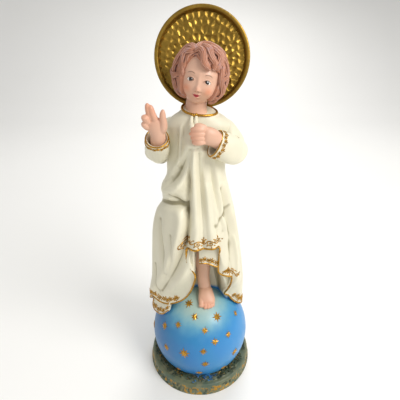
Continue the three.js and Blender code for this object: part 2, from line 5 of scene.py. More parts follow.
import bmesh
import bpy
import numpy as np
from bpy.props import FloatProperty, FloatVectorProperty, IntProperty, PointerProperty
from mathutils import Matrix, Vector, kdtree


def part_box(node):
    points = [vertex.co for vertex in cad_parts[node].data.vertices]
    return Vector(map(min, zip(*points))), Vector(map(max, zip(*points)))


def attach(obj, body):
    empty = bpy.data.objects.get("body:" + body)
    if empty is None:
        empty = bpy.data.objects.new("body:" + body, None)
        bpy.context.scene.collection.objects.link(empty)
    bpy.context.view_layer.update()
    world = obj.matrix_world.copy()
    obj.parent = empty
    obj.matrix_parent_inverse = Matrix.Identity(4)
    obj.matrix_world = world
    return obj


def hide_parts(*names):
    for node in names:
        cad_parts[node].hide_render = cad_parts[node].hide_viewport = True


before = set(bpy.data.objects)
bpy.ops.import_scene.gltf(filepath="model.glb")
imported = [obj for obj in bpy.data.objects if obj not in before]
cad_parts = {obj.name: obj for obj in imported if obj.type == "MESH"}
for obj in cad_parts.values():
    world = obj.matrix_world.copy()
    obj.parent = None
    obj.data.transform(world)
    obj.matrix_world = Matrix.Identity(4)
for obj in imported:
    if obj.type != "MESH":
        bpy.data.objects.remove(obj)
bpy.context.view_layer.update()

bl_info = {
    "name": "Child Statue with Halo",
    "version": (1, 0, 0),
    "blender": (4, 5, 0),
    "location": "View3D > Sidebar > Statue",
    "description": "Builds a painted child statue on a starred globe, with a hammered halo",
    "category": "Object",
}


def rgb(code):
    """A colour written as 0xRRGGBB, in the linear values that the shaders take."""
    parts = [((code >> shift) & 255) / 255 for shift in (16, 8, 0)]
    return tuple(p / 12.92 if p <= 0.04045 else ((p + 0.055) / 1.055) ** 2.4 for p in parts)


def size(name, description, default):
    return FloatProperty(
        name=name, description=description, default=default, unit="LENGTH", subtype="DISTANCE"
    )


def colour(name, description, code):
    return FloatVectorProperty(
        name=name, description=description, default=rgb(code), size=3, min=0, max=1, subtype="COLOR"
    )


class StatueSizes(bpy.types.PropertyGroup):
    base_radius: size("Base radius", "Radius of the round base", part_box("statue")[1].x)
    globe_radius: size("Globe radius", "Radius of the globe", 0.0575)
    halo_radius: size("Halo radius", "Outer radius of the halo", 0.0443)
    edge_radius: size("Gold edge", "Radius of the gold cord on the hems", 0.0011)
    star_radius: size("Star radius", "Reach of the longest rays of a star", 0.0055)
    hammer_depth: size("Hammer depth", "Depth of the dents in the halo", 0.0013)
    strand_depth: size("Strand depth", "Depth of the grooves in the hair", 0.00032)
    moss_curls: IntProperty(name="Moss curls", description="Curls of moss", default=520, min=1)


class StatueColours(bpy.types.PropertyGroup):
    cloth: colour("Cloth", "Cream paint of the robe", 0xE2DCC4)
    # The wash colour is an olive wash and painted shade, laid in the folds of the cloth.
    wash_and_shade: colour("Wash", "Olive wash in the folds", 0x857A52)
    gold: colour("Gold", "Gold paint of the trims", 0xC08F35)
    skin: colour("Skin", "Paint of the skin", 0xDDB096)
    # Blush, darkened, also gives the painted shade in the hollows of the skin.
    blush: colour("Blush", "Blush on the cheeks, fingers and toes", 0xDC8A64)
    lips: colour("Lips", "Paint of the lips", 0xB8303C)
    hair: colour("Hair", "Auburn paint of the hair", 0xB4775A)
    # The hair_dark colour is a dark wash and painted shade, laid in the grooves of the hair.
    hair_dark: colour("Hair grooves", "Dark wash in the hair", 0x4A2A22)
    globe: colour("Globe", "Blue paint of the globe", 0x2C7FC0)
    mist: colour("Mist", "Pale overspray round the foot", 0xAFC4B8)
    base: colour("Base", "Green paint of the base", 0x6E7354)
    moss: colour("Moss", "Dark green of the moss", 0x2E3A2A)
    brass: colour("Brass", "Metal of the halo", 0x9C7C34)


# Curves and small helpers. Lengths in them are millimetres, +X is the child's left and the
# child faces -Y.

FORWARD = (0.0, -1.0, 0.0)


def ease(x):
    x = np.clip(x, 0, 1)
    return x * x * (3 - 2 * x)


def bell(distance, width):
    return np.exp(-((distance / width) ** 2))


def mix(a, b, share):
    return a + (b - a) * share


def unit(v):
    return v / np.maximum(np.linalg.norm(v, axis=-1, keepdims=True), 1e-9)


def xyz(x, y, z):
    return np.stack(np.broadcast_arrays(x, y, z), -1).astype(float)


def curve_through(rows):
    """A smooth curve through the rows of a table, [x, a, b, ...], that never overshoots."""
    table = np.array(rows, float)
    xs, ys = table[:, 0], table[:, 1:]
    step = np.diff(xs)[:, None]
    rise = np.diff(ys, axis=0) / step
    slope = np.zeros_like(ys)
    before, after = rise[:-1], rise[1:]
    same = before * after > 0
    slope[1:-1] = np.where(same, 2 * before * after / np.where(same, before + after, 1), 0)

    def at(x):
        x = np.clip(x, xs[0], xs[-1])
        i = np.clip(np.searchsorted(xs, x, side="right") - 1, 0, len(xs) - 2)
        t = (np.asarray(x - xs[i]) / step[i][..., 0])[..., None]
        start = (1 + 2 * t) * (1 - t) ** 2 * ys[i] + t * (1 - t) ** 2 * step[i] * slope[i]
        stop = t * t * (3 - 2 * t) * ys[i + 1] + t * t * (t - 1) * step[i] * slope[i + 1]
        return np.moveaxis(start + stop, -1, 0)

    return at


def spline(knots):
    """A curve through knots that lie at even shares from 0 to 1."""
    k = np.array(knots, float)
    k = np.vstack([2 * k[0] - k[1], k, 2 * k[-1] - k[-2]])

    def at(share):
        s = np.clip(share, 0, 1) * (len(k) - 3)
        i = np.minimum(s.astype(int), len(k) - 4)
        t = (s - i)[..., None]
        a, b, c, d = k[i], k[i + 1], k[i + 2], k[i + 3]
        square = 2 * a - 5 * b + 4 * c - d
        return 0.5 * (2 * b + (c - a) * t + square * t**2 + (3 * b - a - 3 * c + d) * t**3)

    return at


def ripple(points, scale, seed=0.0):
    """Smooth noise from -1 to 1 at points, with features about scale across."""
    at = points / scale + seed * np.array([1.0, 2.3, 5.1])
    cell = np.floor(at)
    part = ease(at - cell)
    total = np.zeros(len(at))
    for corner in np.ndindex(2, 2, 2):
        x, y, z = (cell + corner).astype(np.int64).T
        mixed = (x * 73856093) ^ (y * 19349663) ^ (z * 83492791)
        mixed = ((mixed ^ (mixed >> 13)) * 1274126177) & 0x7FFFFFFF
        weight = np.prod(np.where(corner, part, 1 - part), axis=1)
        total += weight * ((mixed % 20011) / 10005 - 1)
    return total


UNIT_SPHERES = {}


def unit_sphere(columns, rows):
    """A sphere as two meshes, one of them inside out, with how far round and along it each
    vertex lies, and its triangles."""
    if (columns, rows) not in UNIT_SPHERES:
        mesh = bmesh.new()
        halve = 2 if columns * rows > 10000 else 1
        bmesh.ops.create_uvsphere(mesh, u_segments=columns // halve, v_segments=rows // halve, radius=1)
        if halve > 1:
            bmesh.ops.subdivide_edges(mesh, edges=mesh.edges, cuts=1, use_grid_fill=True)
        at = np.array([v.co for v in mesh.verts])
        around = np.arctan2(-at[:, 0], at[:, 1]) / (2 * np.pi)
        along = np.arctan2(np.hypot(at[:, 0], at[:, 1]), at[:, 2]) / np.pi
        around, along = np.rint(around * columns) / columns % 1, np.rint(along * rows) / rows
        facing = []
        for name in ("outward", "inward"):
            facing.append(bpy.data.meshes.new(name))
            mesh.to_mesh(facing[-1])
            bmesh.ops.reverse_faces(mesh, faces=mesh.faces)
        mesh.free()
        facing[0].calc_loop_triangles()
        triangles = np.empty(len(facing[0].loop_triangles) * 3, np.int32)
        facing[0].loop_triangles.foreach_get("vertices", triangles)
        UNIT_SPHERES[columns, rows] = (*facing, around, along, triangles.reshape(-1, 3))
    return UNIT_SPHERES[columns, rows]


class Shape:
    """Closed skins gathered in one bmesh, in millimetres."""

    def __init__(self):
        self.mesh = bmesh.new()
        self.points = []

    def skin(self, columns, rows, place):
        """A sphere whose vertices move to place(around, along): both run from 0 to 1, around
        from back to back and along from pole to pole."""
        outward, inward, around, along, triangles = unit_sphere(columns, rows)
        points = place(around, along)
        a, b, c = (points[triangles[:, k]] for k in range(3))
        volume = np.sum(a * np.cross(b, c))
        self.mesh.from_mesh(outward if volume > 0 else inward)
        self.points.append(points)

    def tube(self, knots, sides=12, steps=24, toward=FORWARD, ends=0.2, swell=None):
        """A tube along knots of [x, y, z, radius across, radius ahead] with rounded ends."""
        line = spline([[*k[:4], k[4] if len(k) > 4 else k[3]] for k in knots])
        ahead_of = spline(toward) if np.ndim(toward) == 2 else None

        def place(around, share):
            along = 0.5 - 0.5 * np.cos(np.pi * share)
            here = line(along)
            tangent = unit((line(along + 0.004) - line(along - 0.004))[:, :3])
            ahead = ahead_of(along) if ahead_of else np.broadcast_to(toward, tangent.shape)
            ahead = unit(ahead - tangent * np.sum(ahead * tangent, -1, keepdims=True))
            across = np.cross(tangent, ahead)
            edge = np.maximum(0, 1 - np.minimum(along, 1 - along) / ends)
            turn = 2 * np.pi * around
            radius = np.maximum(here[:, 3:], 0.02) * np.sqrt(1 - edge**2)[:, None]
            if swell:
                radius = radius * swell(turn, along)[:, None]
            return (
                here[:, :3]
                + across * (radius[:, :1] * np.cos(turn)[:, None])
                + ahead * (radius[:, 1:] * np.sin(turn)[:, None])
            )

        return self.skin(sides, steps, place)

    def built(self, name, fuse=0.0, calm=0):
        """The finished object, in metres. Fuse is a voxel size in millimetres that joins the
        skins into one, and calm is how many times the result is smoothed."""
        data = bpy.data.meshes.new(name)
        self.mesh.to_mesh(data)
        self.mesh.free()
        piece = bpy.data.objects.new(name, data)
        move(piece, np.vstack(self.points))
        bpy.context.scene.collection.objects.link(piece)
        if fuse:
            remesh = piece.modifiers.new("Fuse", "REMESH")
            remesh.mode = "VOXEL"
            remesh.voxel_size = fuse / 1000
            graph = bpy.context.evaluated_depsgraph_get()
            piece.data = bpy.data.meshes.new_from_object(piece.evaluated_get(graph))
            piece.modifiers.clear()
            bpy.data.meshes.remove(data)
            piece.data.name = name
        if calm:
            move(piece, calmed(piece.data, calm))
        piece.data.shade_smooth()
        return piece


def spots(data):
    """The vertices of a mesh as rows of millimetres."""
    flat = np.empty(len(data.vertices) * 3, np.float32)
    data.vertices.foreach_get("co", flat)
    return flat.reshape(-1, 3).astype(float) * 1000


def normals(data):
    flat = np.empty(len(data.vertices) * 3, np.float32)
    data.vertex_normals.foreach_get("vector", flat)
    return flat.reshape(-1, 3).astype(float)


def move(piece, points):
    piece.data.vertices.foreach_set("co", (points / 1000).astype(np.float32).ravel())
    piece.data.update()


def averaged(data, values, times):
    """Values at the vertices, each averaged with its neighbours, times over."""
    ends = np.empty(len(data.edges) * 2, np.int32)
    data.edges.foreach_get("vertices", ends)
    a, b = ends[0::2], ends[1::2]
    count = len(data.vertices)
    links = np.maximum(np.bincount(ends, minlength=count), 1)
    for _ in range(times):
        for k in range(values.shape[1]):
            column = values[:, k]
            total = np.bincount(a, column[b], count) + np.bincount(b, column[a], count)
            values[:, k] = 0.5 * column + 0.5 * total / links
    return values


def calmed(data, times):
    return averaged(data, spots(data), times)


def remember(piece, name, values):
    """Keeps one number per vertex on the piece, for its paint."""
    layer = piece.data.attributes.new(name, "FLOAT", "POINT")
    layer.data.foreach_set("value", np.asarray(values, np.float32))


def mark_hollows(piece, times=12, spread=2):
    """Keeps how deep each vertex lies below the surface around it, in millimetres."""
    data = piece.data
    depth = np.sum((calmed(data, times) - spots(data)) * normals(data), -1, keepdims=True)
    remember(piece, "hollow", averaged(data, depth, spread)[:, 0])


def stand_for(piece, node, material):
    """Puts the finished piece in the frame in place of a node of the CAD."""
    piece.data.materials.clear()
    piece.data.materials.append(material)
    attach(piece, "root")
    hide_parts(node)


# Paints


class Paint:
    """A procedural material. Its colour is built up in layers from the first one."""

    def __init__(self, name, first, **sockets):
        self.material = bpy.data.materials.new(name)
        self.material.use_nodes = True
        self.tree = self.material.node_tree
        self.shader = self.tree.nodes["Principled BSDF"]
        self.place = self.tree.nodes.new("ShaderNodeTexCoord").outputs["Object"]
        self.colour = (*first, 1)
        for socket, value in sockets.items():
            self.shader.inputs[socket.replace("_", " ")].default_value = value

    def add(self, kind, inputs, output=0, **settings):
        node = self.tree.nodes.new("ShaderNode" + kind)
        for key, value in settings.items():
            setattr(node, key, value)
        for key, value in inputs.items():
            if isinstance(value, bpy.types.NodeSocket):
                self.tree.links.new(value, node.inputs[key])
            else:
                node.inputs[key].default_value = value
        return node.outputs[output]

    def math(self, operation, a, b=0.0):
        return self.add("Math", {0: a, 1: b}, operation=operation)

    def kept(self, name):
        return self.add("Attribute", {}, "Fac", attribute_name=name)

    def grain(self, scale, detail=3.0, stretch=None, roughness=0.55):
        at = self.place
        if stretch:
            at = self.add("Mapping", {"Vector": at, "Scale": stretch})
        settings = {"Vector": at, "Scale": scale, "Detail": detail, "Roughness": roughness}
        return self.add("TexNoise", settings, "Fac")

    def step(self, value, low, high, to_low=0.0, to_high=1.0):
        return self.add(
            "MapRange",
            {"Value": value, 1: low, 2: high, 3: to_low, 4: to_high},
            interpolation_type="SMOOTHSTEP",
        )

    def near(self, centre, low, high):
        """1 at low metres from centre, or nearer, and 0 from high metres on."""
        away = self.add("VectorMath", {0: self.place, 1: centre}, "Value", operation="DISTANCE")
        return self.step(away, low, high, 1.0, 0.0)

    def layer(self, share, tint):
        """Lays a tint over the colour where share is 1."""
        tint = (*tint, 1) if isinstance(tint, (tuple, bpy.types.bpy_prop_array)) else tint
        self.colour = self.add(
            "Mix", {0: share, 6: self.colour, 7: tint}, 2, data_type="RGBA", clamp_factor=True
        )

    def done(self, roughness=None, height=None, depth=0.0002, strength=1.0, metal=None):
        self.tree.links.new(self.colour, self.shader.inputs["Base Color"])
        if roughness is not None:
            self.tree.links.new(roughness, self.shader.inputs["Roughness"])
        if metal is not None:
            self.tree.links.new(metal, self.shader.inputs["Metallic"])
        if height is not None:
            normal = self.add(
                "Bump", {"Height": height, "Distance": depth, "Strength": strength}, "Normal"
            )
            self.tree.links.new(normal, self.shader.inputs["Normal"])
        return self.material


def shade(tint, factor):
    return tuple(min(1.0, c * factor) for c in tint)


def overspray(paint, colours, low, high):
    """Blue paint that strayed from the globe on to what stands close to it."""
    away = paint.add(
        "VectorMath", {0: paint.place, 1: (0, 0, GLOBE_CENTRE / 1000)}, "Value", operation="DISTANCE"
    )
    cloud = paint.math("MULTIPLY", paint.grain(60, 2), 0.006)
    reach = paint.step(paint.math("ADD", away, cloud), low, high, 1.0, 0.0)
    paint.layer(reach, shade(colours.globe, 1.15))


def cloth_paint(colours):
    paint = Paint("Cream cloth paint", tuple(colours.cloth), Coat_Weight=0.06, Coat_Roughness=0.35)
    hollow = paint.kept("hollow")
    broad = paint.grain(28, 3)
    paint.layer(paint.step(broad, 0.35, 0.75, 0, 0.35), shade(colours.cloth, 0.86))
    # Olive wash and painted shade in the folds: deepest in the hollows of the cloth.
    wash_and_shade = paint.math("ADD", hollow, paint.math("MULTIPLY", paint.grain(420, 2), 0.05))
    paint.layer(paint.step(wash_and_shade, 0.06, 0.5, 0, 0.75), tuple(colours.wash_and_shade))
    # Painted highlight: the ridges of the folds lightened with a paler cream.
    paint.layer(paint.step(hollow, -0.08, -0.4, 0, 0.5), shade(colours.cloth, 1.12))
    overspray(paint, colours, 0.0610, 0.0665)
    rough = paint.step(paint.grain(160, 3), 0.3, 0.7, 0.4, 0.52)
    return paint.done(rough, paint.grain(900, 4), 0.00012, 0.35)


def gold_paint(colours):
    paint = Paint("Gold paint", tuple(colours.gold), Metallic=0.82)
    blotch = paint.grain(240, 4)
    paint.layer(paint.step(blotch, 0.4, 0.65, 0, 0.7), shade(colours.gold, 0.5))
    # Pale specks of painted highlight on the gold, laid at random.
    paint.layer(paint.step(paint.grain(520, 2), 0.58, 0.68, 0, 0.75), shade(colours.gold, 1.9))
    rough = paint.step(paint.grain(300, 3), 0.3, 0.7, 0.24, 0.42)
    return paint.done(rough, paint.grain(1400, 3), 0.0001, 0.5)


def skin_paint(colours):
    paint = Paint("Skin paint", tuple(colours.skin), Coat_Weight=0.08, Coat_Roughness=0.3)
    paint.layer(paint.step(paint.grain(45, 3), 0.35, 0.7, 0, 0.35), shade(colours.skin, 0.9))
    hollow = paint.kept("hollow")
    # Painted shade: the hollows of the skin darkened with a deep blush tone.
    paint.layer(paint.step(hollow, 0.03, 0.3, 0, 0.6), shade(colours.blush, 0.62))
    paint.layer(paint.kept("blush"), tuple(colours.blush))
    paint.layer(paint.kept("lips"), tuple(colours.lips))
    paint.layer(paint.kept("line"), rgb(0x4A2A1E))
    rough = paint.step(paint.grain(180, 3), 0.3, 0.7, 0.38, 0.5)
    return paint.done(rough, paint.grain(1200, 3), 0.0001, 0.25)


def hair_paint(colours):
    paint = Paint("Auburn hair paint", tuple(colours.hair))
    hollow = paint.kept("hollow")
    paint.layer(paint.step(paint.grain(90, 3), 0.4, 0.65, 0, 0.6), shade(colours.hair, 0.72))
    # Dark wash and painted shade in the grooves of the hair.
    paint.layer(paint.step(hollow, 0.0, 0.2, 0, 0.92), tuple(colours.hair_dark))
    # Painted highlight: the ridges of the locks lightened with a pale pink.
    paint.layer(paint.step(hollow, -0.04, -0.22, 0, 0.55), rgb(0xD9B3A4))
    # Grey-lilac patches of painted sheen on the hair, laid at random.
    paint.layer(paint.step(paint.grain(200, 3), 0.56, 0.7, 0, 0.35), rgb(0xA99AA6))
    rough = paint.step(paint.grain(200, 3), 0.3, 0.7, 0.42, 0.58)
    return paint.done(rough, paint.grain(1500, 3), 0.0001, 0.4)


def globe_paint(colours):
    paint = Paint("Blue globe paint", tuple(colours.globe), Coat_Weight=0.15, Coat_Roughness=0.25)
    side = paint.add("SeparateXYZ", {"Vector": paint.place}, "X")
    # Painted shade and light: darker blue on the child's right (-X) and brighter sky blue on the child's left
    # (+X), as if lit from that side.
    paint.layer(paint.step(side, 0.01, -0.06, 0, 0.55), shade(colours.globe, 0.42))
    paint.layer(paint.step(side, 0.0, 0.055, 0, 0.3), rgb(0x3FA6E0))
    paint.layer(paint.step(paint.grain(26, 4), 0.42, 0.7, 0, 0.3), rgb(0x2A8FB4))
    spray = paint.math("MULTIPLY", paint.grain(55, 3), 0.02)
    away = paint.add(
        "VectorMath", {0: paint.place, 1: (0.0, -0.018, 0.106)}, "Value", operation="DISTANCE"
    )
    reach = paint.math("ADD", away, spray)
    paint.layer(paint.step(reach, 0.034, 0.062, 0.92, 0.0), rgb(0x6FAFBF))
    paint.layer(paint.step(reach, 0.022, 0.048, 0.9, 0.0), tuple(colours.mist))
    rough = paint.step(paint.grain(120, 3), 0.3, 0.7, 0.34, 0.46)
    return paint.done(rough, paint.grain(700, 4), 0.0001, 0.3)


def base_paint(colours):
    paint = Paint("Mossy base paint", tuple(colours.base), Coat_Weight=0.08, Coat_Roughness=0.3)
    height = paint.kept("relief")
    paint.layer(paint.step(paint.grain(60, 4), 0.42, 0.62, 0, 0.8), rgb(0x4E6252))
    paint.layer(paint.step(paint.grain(110, 4), 0.5, 0.68, 0, 0.7), rgb(0x8A8460))
    paint.layer(paint.step(height, 0.1, -0.5, 0, 0.85), tuple(colours.moss))
    specks = paint.math("ADD", paint.step(paint.grain(330, 3), 0.45, 0.62), height)
    paint.layer(paint.step(specks, 0.95, 1.35, 0, 0.95), tuple(colours.gold))
    paint.layer(paint.step(paint.grain(75, 2), 0.62, 0.72, 0, 0.5), rgb(0x5A9A98))
    gilt = paint.step(specks, 1.0, 1.4, 0, 0.7)
    rough = paint.step(paint.grain(220, 3), 0.3, 0.7, 0.35, 0.6)
    return paint.done(rough, paint.grain(900, 4), 0.0003, 0.6, metal=gilt)


def moss_paint(colours):
    paint = Paint("Moss paint", tuple(colours.moss))
    paint.layer(paint.step(paint.grain(130, 3), 0.42, 0.62, 0, 0.8), rgb(0x56664A))
    paint.layer(paint.step(paint.grain(90, 3), 0.55, 0.7, 0, 0.5), rgb(0x6D7A52))
    height = paint.add("SeparateXYZ", {"Vector": paint.place}, "Z")
    lift = paint.step(height, 0.0148, 0.0178)
    specks = paint.math("ADD", lift, paint.grain(380, 2))
    gilt = paint.step(specks, 0.95, 1.25, 0, 0.95)
    paint.layer(gilt, tuple(colours.gold))
    front = paint.near((0.004, -0.052, 0.015), 0.006, 0.021)
    blue = paint.math("MULTIPLY", front, paint.step(paint.grain(150, 2), 0.4, 0.6))
    paint.layer(blue, shade(colours.globe, 0.9))
    rough = paint.step(paint.grain(220, 3), 0.3, 0.7, 0.3, 0.55)
    return paint.done(rough, paint.grain(1100, 3), 0.0002, 0.5, metal=gilt)


def brass_metal(colours):
    paint = Paint("Hammered brass", tuple(colours.brass), Metallic=0.92)
    paint.layer(paint.step(paint.grain(34, 4), 0.4, 0.66, 0, 0.7), shade(colours.brass, 0.62))
    paint.layer(paint.step(paint.grain(120, 4), 0.52, 0.7, 0, 0.5), shade(colours.brass, 1.4))
    hollow = paint.kept("hollow")
    paint.layer(paint.step(hollow, 0.02, 0.3, 0, 0.6), shade(colours.brass, 0.45))
    rough = paint.step(paint.grain(150, 4), 0.3, 0.7, 0.3, 0.48)
    return paint.done(rough, paint.grain(600, 4, (1, 1, 0.35)), 0.00012, 0.5)


def eye_paint():
    paint = Paint("Painted eyes", rgb(0xEDE6DC), Coat_Weight=0.6, Coat_Roughness=0.08)
    away = paint.kept("gaze")
    paint.layer(paint.step(away, 2.05, 1.85), rgb(0x1E1410))
    paint.layer(paint.step(away, 1.75, 1.2, 0, 0.6), rgb(0x3A2318))
    paint.layer(paint.step(away, 1.0, 0.86), rgb(0x050505))
    paint.layer(paint.kept("glint"), rgb(0xFFFFFF))
    rough = paint.step(paint.grain(800, 2), 0.3, 0.7, 0.16, 0.24)
    return paint.done(rough)


# The robe

GLOBE_CENTRE = 46.0
ROBE_TOP = 313.0

# [height, middle x, middle y, half width, half depth]
robe_form = curve_through([
    [60, -2.5, 5, 57, 44], [80, -2.5, 5, 57, 44], [95, -2.5, 4, 56, 41], [110, -2.5, 2.5, 54.5, 39.5],
    [140, -2.5, 0, 50.5, 39.5], [170, -3, -2, 46.5, 38.5], [200, -4, -3, 42, 35],
    [230, -4, -2, 34, 27.5], [255, -4, -1, 28.5, 21], [280, -2.5, 0, 29.5, 19], [297, -1, 1, 31, 18],
    [305, -1.5, 1, 25, 16.5], [311, -2.5, 1, 15.5, 14], [318, -3.5, 1, 10, 10],
])

# [start degrees, end degrees, height, out, reach] along the hem
hem_at = curve_through([
    [-180, -180, 78, -2, 60], [-130, -130, 78, -2, 60], [-100, -100, 79, 0, 60],
    [-86, -88, 86, 1.5, 40], [-74, -76, 97, 2, 40], [-62, -64, 103, 1, 40], [-52, -53, 101, -1, 40],
    [-43, -43, 99, -5, 45], [-34, -33, 101, -8, 45], [-26, -24, 105, -10, 45],
    [-20, -16, 113, -9, 45], [-16, -10, 124, -6, 42], [-13.5, -5, 139, -3, 36],
    [-11.5, -2.5, 152, 0, 30], [-10, -7, 162, -1, 30], [-8.5, -12.5, 172, -1, 32],
    [-7, -13.5, 180, 1, 32], [-5, -12, 185, 2, 32], [-1, -6, 187, 3.5, 25], [4, 2, 187.5, 4, 30],
    [10, 10, 187, 4, 35], [17, 18, 187.5, 4, 35], [23, 27, 187.5, 3, 35], [26, 31, 180, 0, 30],
    [29, 31, 168, -3, 22], [32, 30, 156, -5, 16], [35, 29.5, 151, -5, 12], [39, 35, 146, -3, 14],
    [43, 42, 143.5, -1, 18], [46.5, 46.5, 142, 0, 25], [49, 48, 130, -3, 30], [52, 47, 118, -8, 30],
    [55, 46, 107, -14, 32], [60, 54, 102, -13, 35], [66, 63, 93, -11, 40], [74, 72, 86, -6, 45],
    [86, 86, 80, -3, 55], [100, 100, 78, -2, 60], [130, 130, 78, -2, 60], [180, 180, 78, -2, 60],
])

# [start degrees, height, middle degrees, height, end degrees, height, half width, out]
FOLDS = [
    [-12, 288, -33, 267, -64, 250, 3.4, 3.2], [-12, 281, -26, 262, -56, 241, 3.2, -3.8],
    [-9, 281, -20, 254, -46, 233, 4.2, 5.2], [-9, 282, -11, 245, -13, 190, 3.2, -7.4],
    [-5, 284, -2, 240, -1, 186, 4.6, 5.2], [1, 283, 9, 245, 9, 188, 2.8, -5.4],
    [5, 284, 16, 250, 20, 188, 4.2, 4.6], [14, 274, 16, 262, 17, 250, 2.8, -3.4],
    [12, 283, 31, 256, 40, 200, 3.4, -4.4], [19, 280, 42, 250, 50, 190, 4.6, 3.6],
    [52, 240, 53, 205, 44, 150, 3.6, -5], [66, 240, 66, 200, 58, 125, 5, 3.2],
    [64, 222, 47, 214, 29, 207, 3, -3.4], [-34, 246, -58, 240, -92, 240, 7, 7],
    [-16, 228, -48, 226, -92, 222, 3.6, -5.4], [-44, 236, -28, 230, -14, 222, 3.2, -3.8],
    [-13, 222, -17, 184, -51, 118, 3.6, -6.4], [-23, 220, -27, 187, -66, 116, 6, 5],
    [-68, 205, -56, 180, -46, 148, 3.8, -5.4], [-86, 212, -80, 170, -76, 110, 6, 3],
    [-8, 172, -18, 150, -34, 124, 5, 4], [-30, 300, -31, 284, -32, 266, 2.2, 2.2],
    [-26, 300, -26, 284, -28, 262, 1.6, -1.6], [-37, 292, -36, 280, -37, 262, 1.6, -1.4],
    [-5, 280, -6, 240, -7, 195, 1.5, 1.6], [3, 278, 5, 240, 4, 196, 1.5, -1.5],
    [10, 276, 13, 240, 14, 196, 1.6, -1.6], [24, 272, 30, 236, 30, 196, 2, 1.8],
    [-36, 196, -34, 168, -46, 140, 2.6, -2.4], [-70, 150, -62, 128, -52, 112, 2.4, -2.6],
    [76, 230, 78, 180, 74, 120, 2.6, -2.6], [58, 190, 58, 160, 55, 130, 1.8, 2],
]
for i, degrees in enumerate((-160, -138, -116, 112, 134, 156, 178)):
    FOLDS.append([degrees, 262 + 6 * (i % 2), degrees, 190, degrees + 2, 96, 5.5, 3.4])
    FOLDS.append([degrees + 11, 250, degrees + 11, 180, degrees + 12, 96, 4, -3.8])
FOLD_STEPS = 10


def fold_paths():
    t = np.linspace(0, 1, FOLD_STEPS + 1)[:, None]
    for a0, z0, a1, z1, a2, z2, width, out in FOLDS:
        first, last = np.array([a0, z0]), np.array([a2, z2])
        middle = 2 * np.array([a1, z1]) - (first + last) / 2
        yield first * (1 - t) ** 2 + middle * 2 * t * (1 - t) + last * t**2, width, out


def folds_at(degrees, height):
    """How far the folds move the cloth out at an angle and a height."""
    _, _, half_x, half_y = robe_form(height)
    scale = np.radians((half_x + half_y) / 2)
    total = np.zeros(np.shape(degrees))
    for points, width, out in fold_paths():
        low, high = points.min(0), points.max(0)
        beside = np.maximum(low[0] - degrees, degrees - high[0]) * scale
        close = np.nonzero((beside < 3 * width) & (height > low[1] - 3 * width) & (height < high[1] + 3 * width))
        nearest, share = np.full(len(close[0]), 1e9), np.zeros(len(close[0]))
        for i in range(FOLD_STEPS):
            wide = scale[close]
            ux, uy = (points[i + 1, 0] - points[i, 0]) * wide, points[i + 1, 1] - points[i, 1]
            vx, vy = (degrees[close] - points[i, 0]) * wide, height[close] - points[i, 1]
            t = np.clip((ux * vx + uy * vy) / (ux * ux + uy * uy), 0, 1)
            distance = np.hypot(vx - ux * t, vy - uy * t)
            closer = distance < nearest
            nearest = np.where(closer, distance, nearest)
            share = np.where(closer, (i + t) / FOLD_STEPS, share)
        sharp = 1.45 if out < 0 else 1.8
        profile = np.exp(-((nearest / width) ** sharp))
        total[close] += out * profile * (0.45 + 0.55 * np.sin(np.pi * np.clip(share + 0.15, 0, 1)))
    return total


def gathered_at(degrees, height):
    """The cloth drawn forward into the fist."""
    return 9 * bell(degrees + 6, 20) * bell(height - 286, np.where(height > 286, 9, 26))


def on_robe(degrees, height, out=0.0):
    x, y, half_x, half_y = robe_form(height)
    a = np.radians(degrees)
    nx, ny = np.sin(a) * half_y, -np.cos(a) * half_x
    n = out / np.hypot(nx, ny)
    return xyz(x + half_x * np.sin(a) + nx * n, y - half_y * np.cos(a) + ny * n, height)


def collar_height(start):
    return ROBE_TOP - 2 * np.sin(np.radians(start)) - 3 * np.cos(np.radians(start))


def swing_at(start, height):
    """Where a column of the cloth has swung to at a height, and by what share."""
    end, hem, _, reach = hem_at(start)
    share = ease(1 - (height - hem) / reach)
    return mix(start, end, share), share


def cloth(start, height):
    """The face of the cloth, on the column that leaves the collar at start."""
    degrees, share = swing_at(start, height)
    hem_out = hem_at(start)[2]
    below = collar_height(start) - height
    out = 1.3 * bell(below, 1.5) + hem_out * share
    out = out + (folds_at(degrees, height) + gathered_at(degrees, height)) * ease(below / 14)
    return on_robe(degrees, height, out)


def cloth_at(degrees, height):
    """The face of the cloth at an angle, found by the column that swings there."""
    start = degrees
    for _ in range(8):
        start = start + 0.8 * (degrees - swing_at(start, height)[0])
    return cloth(start, height)


lining_at = curve_through([
    [74, 13, -34, 60], [92, 17, -28, 56], [110, 13, -18, 50], [124, 9, -10, 45],
    [140, 6, -4, 38], [188, 4, -2, 30],
])


def lining(degrees, height):
    """The wall behind the hem, set back round the leg."""
    inset, first, last = lining_at(height)
    opened = ease((degrees - first + 2) / 4) * ease((last - degrees) / 9)
    outer = on_robe(degrees, height, -inset)
    return mix(outer, xyz(outer[:, 0] * 0.8, 3.0, height), opened[:, None])


CLOTH_ROWS, TURN_ROWS, LINING_ROWS = 196, 4, 24
HEM_THICKNESS = 2.4


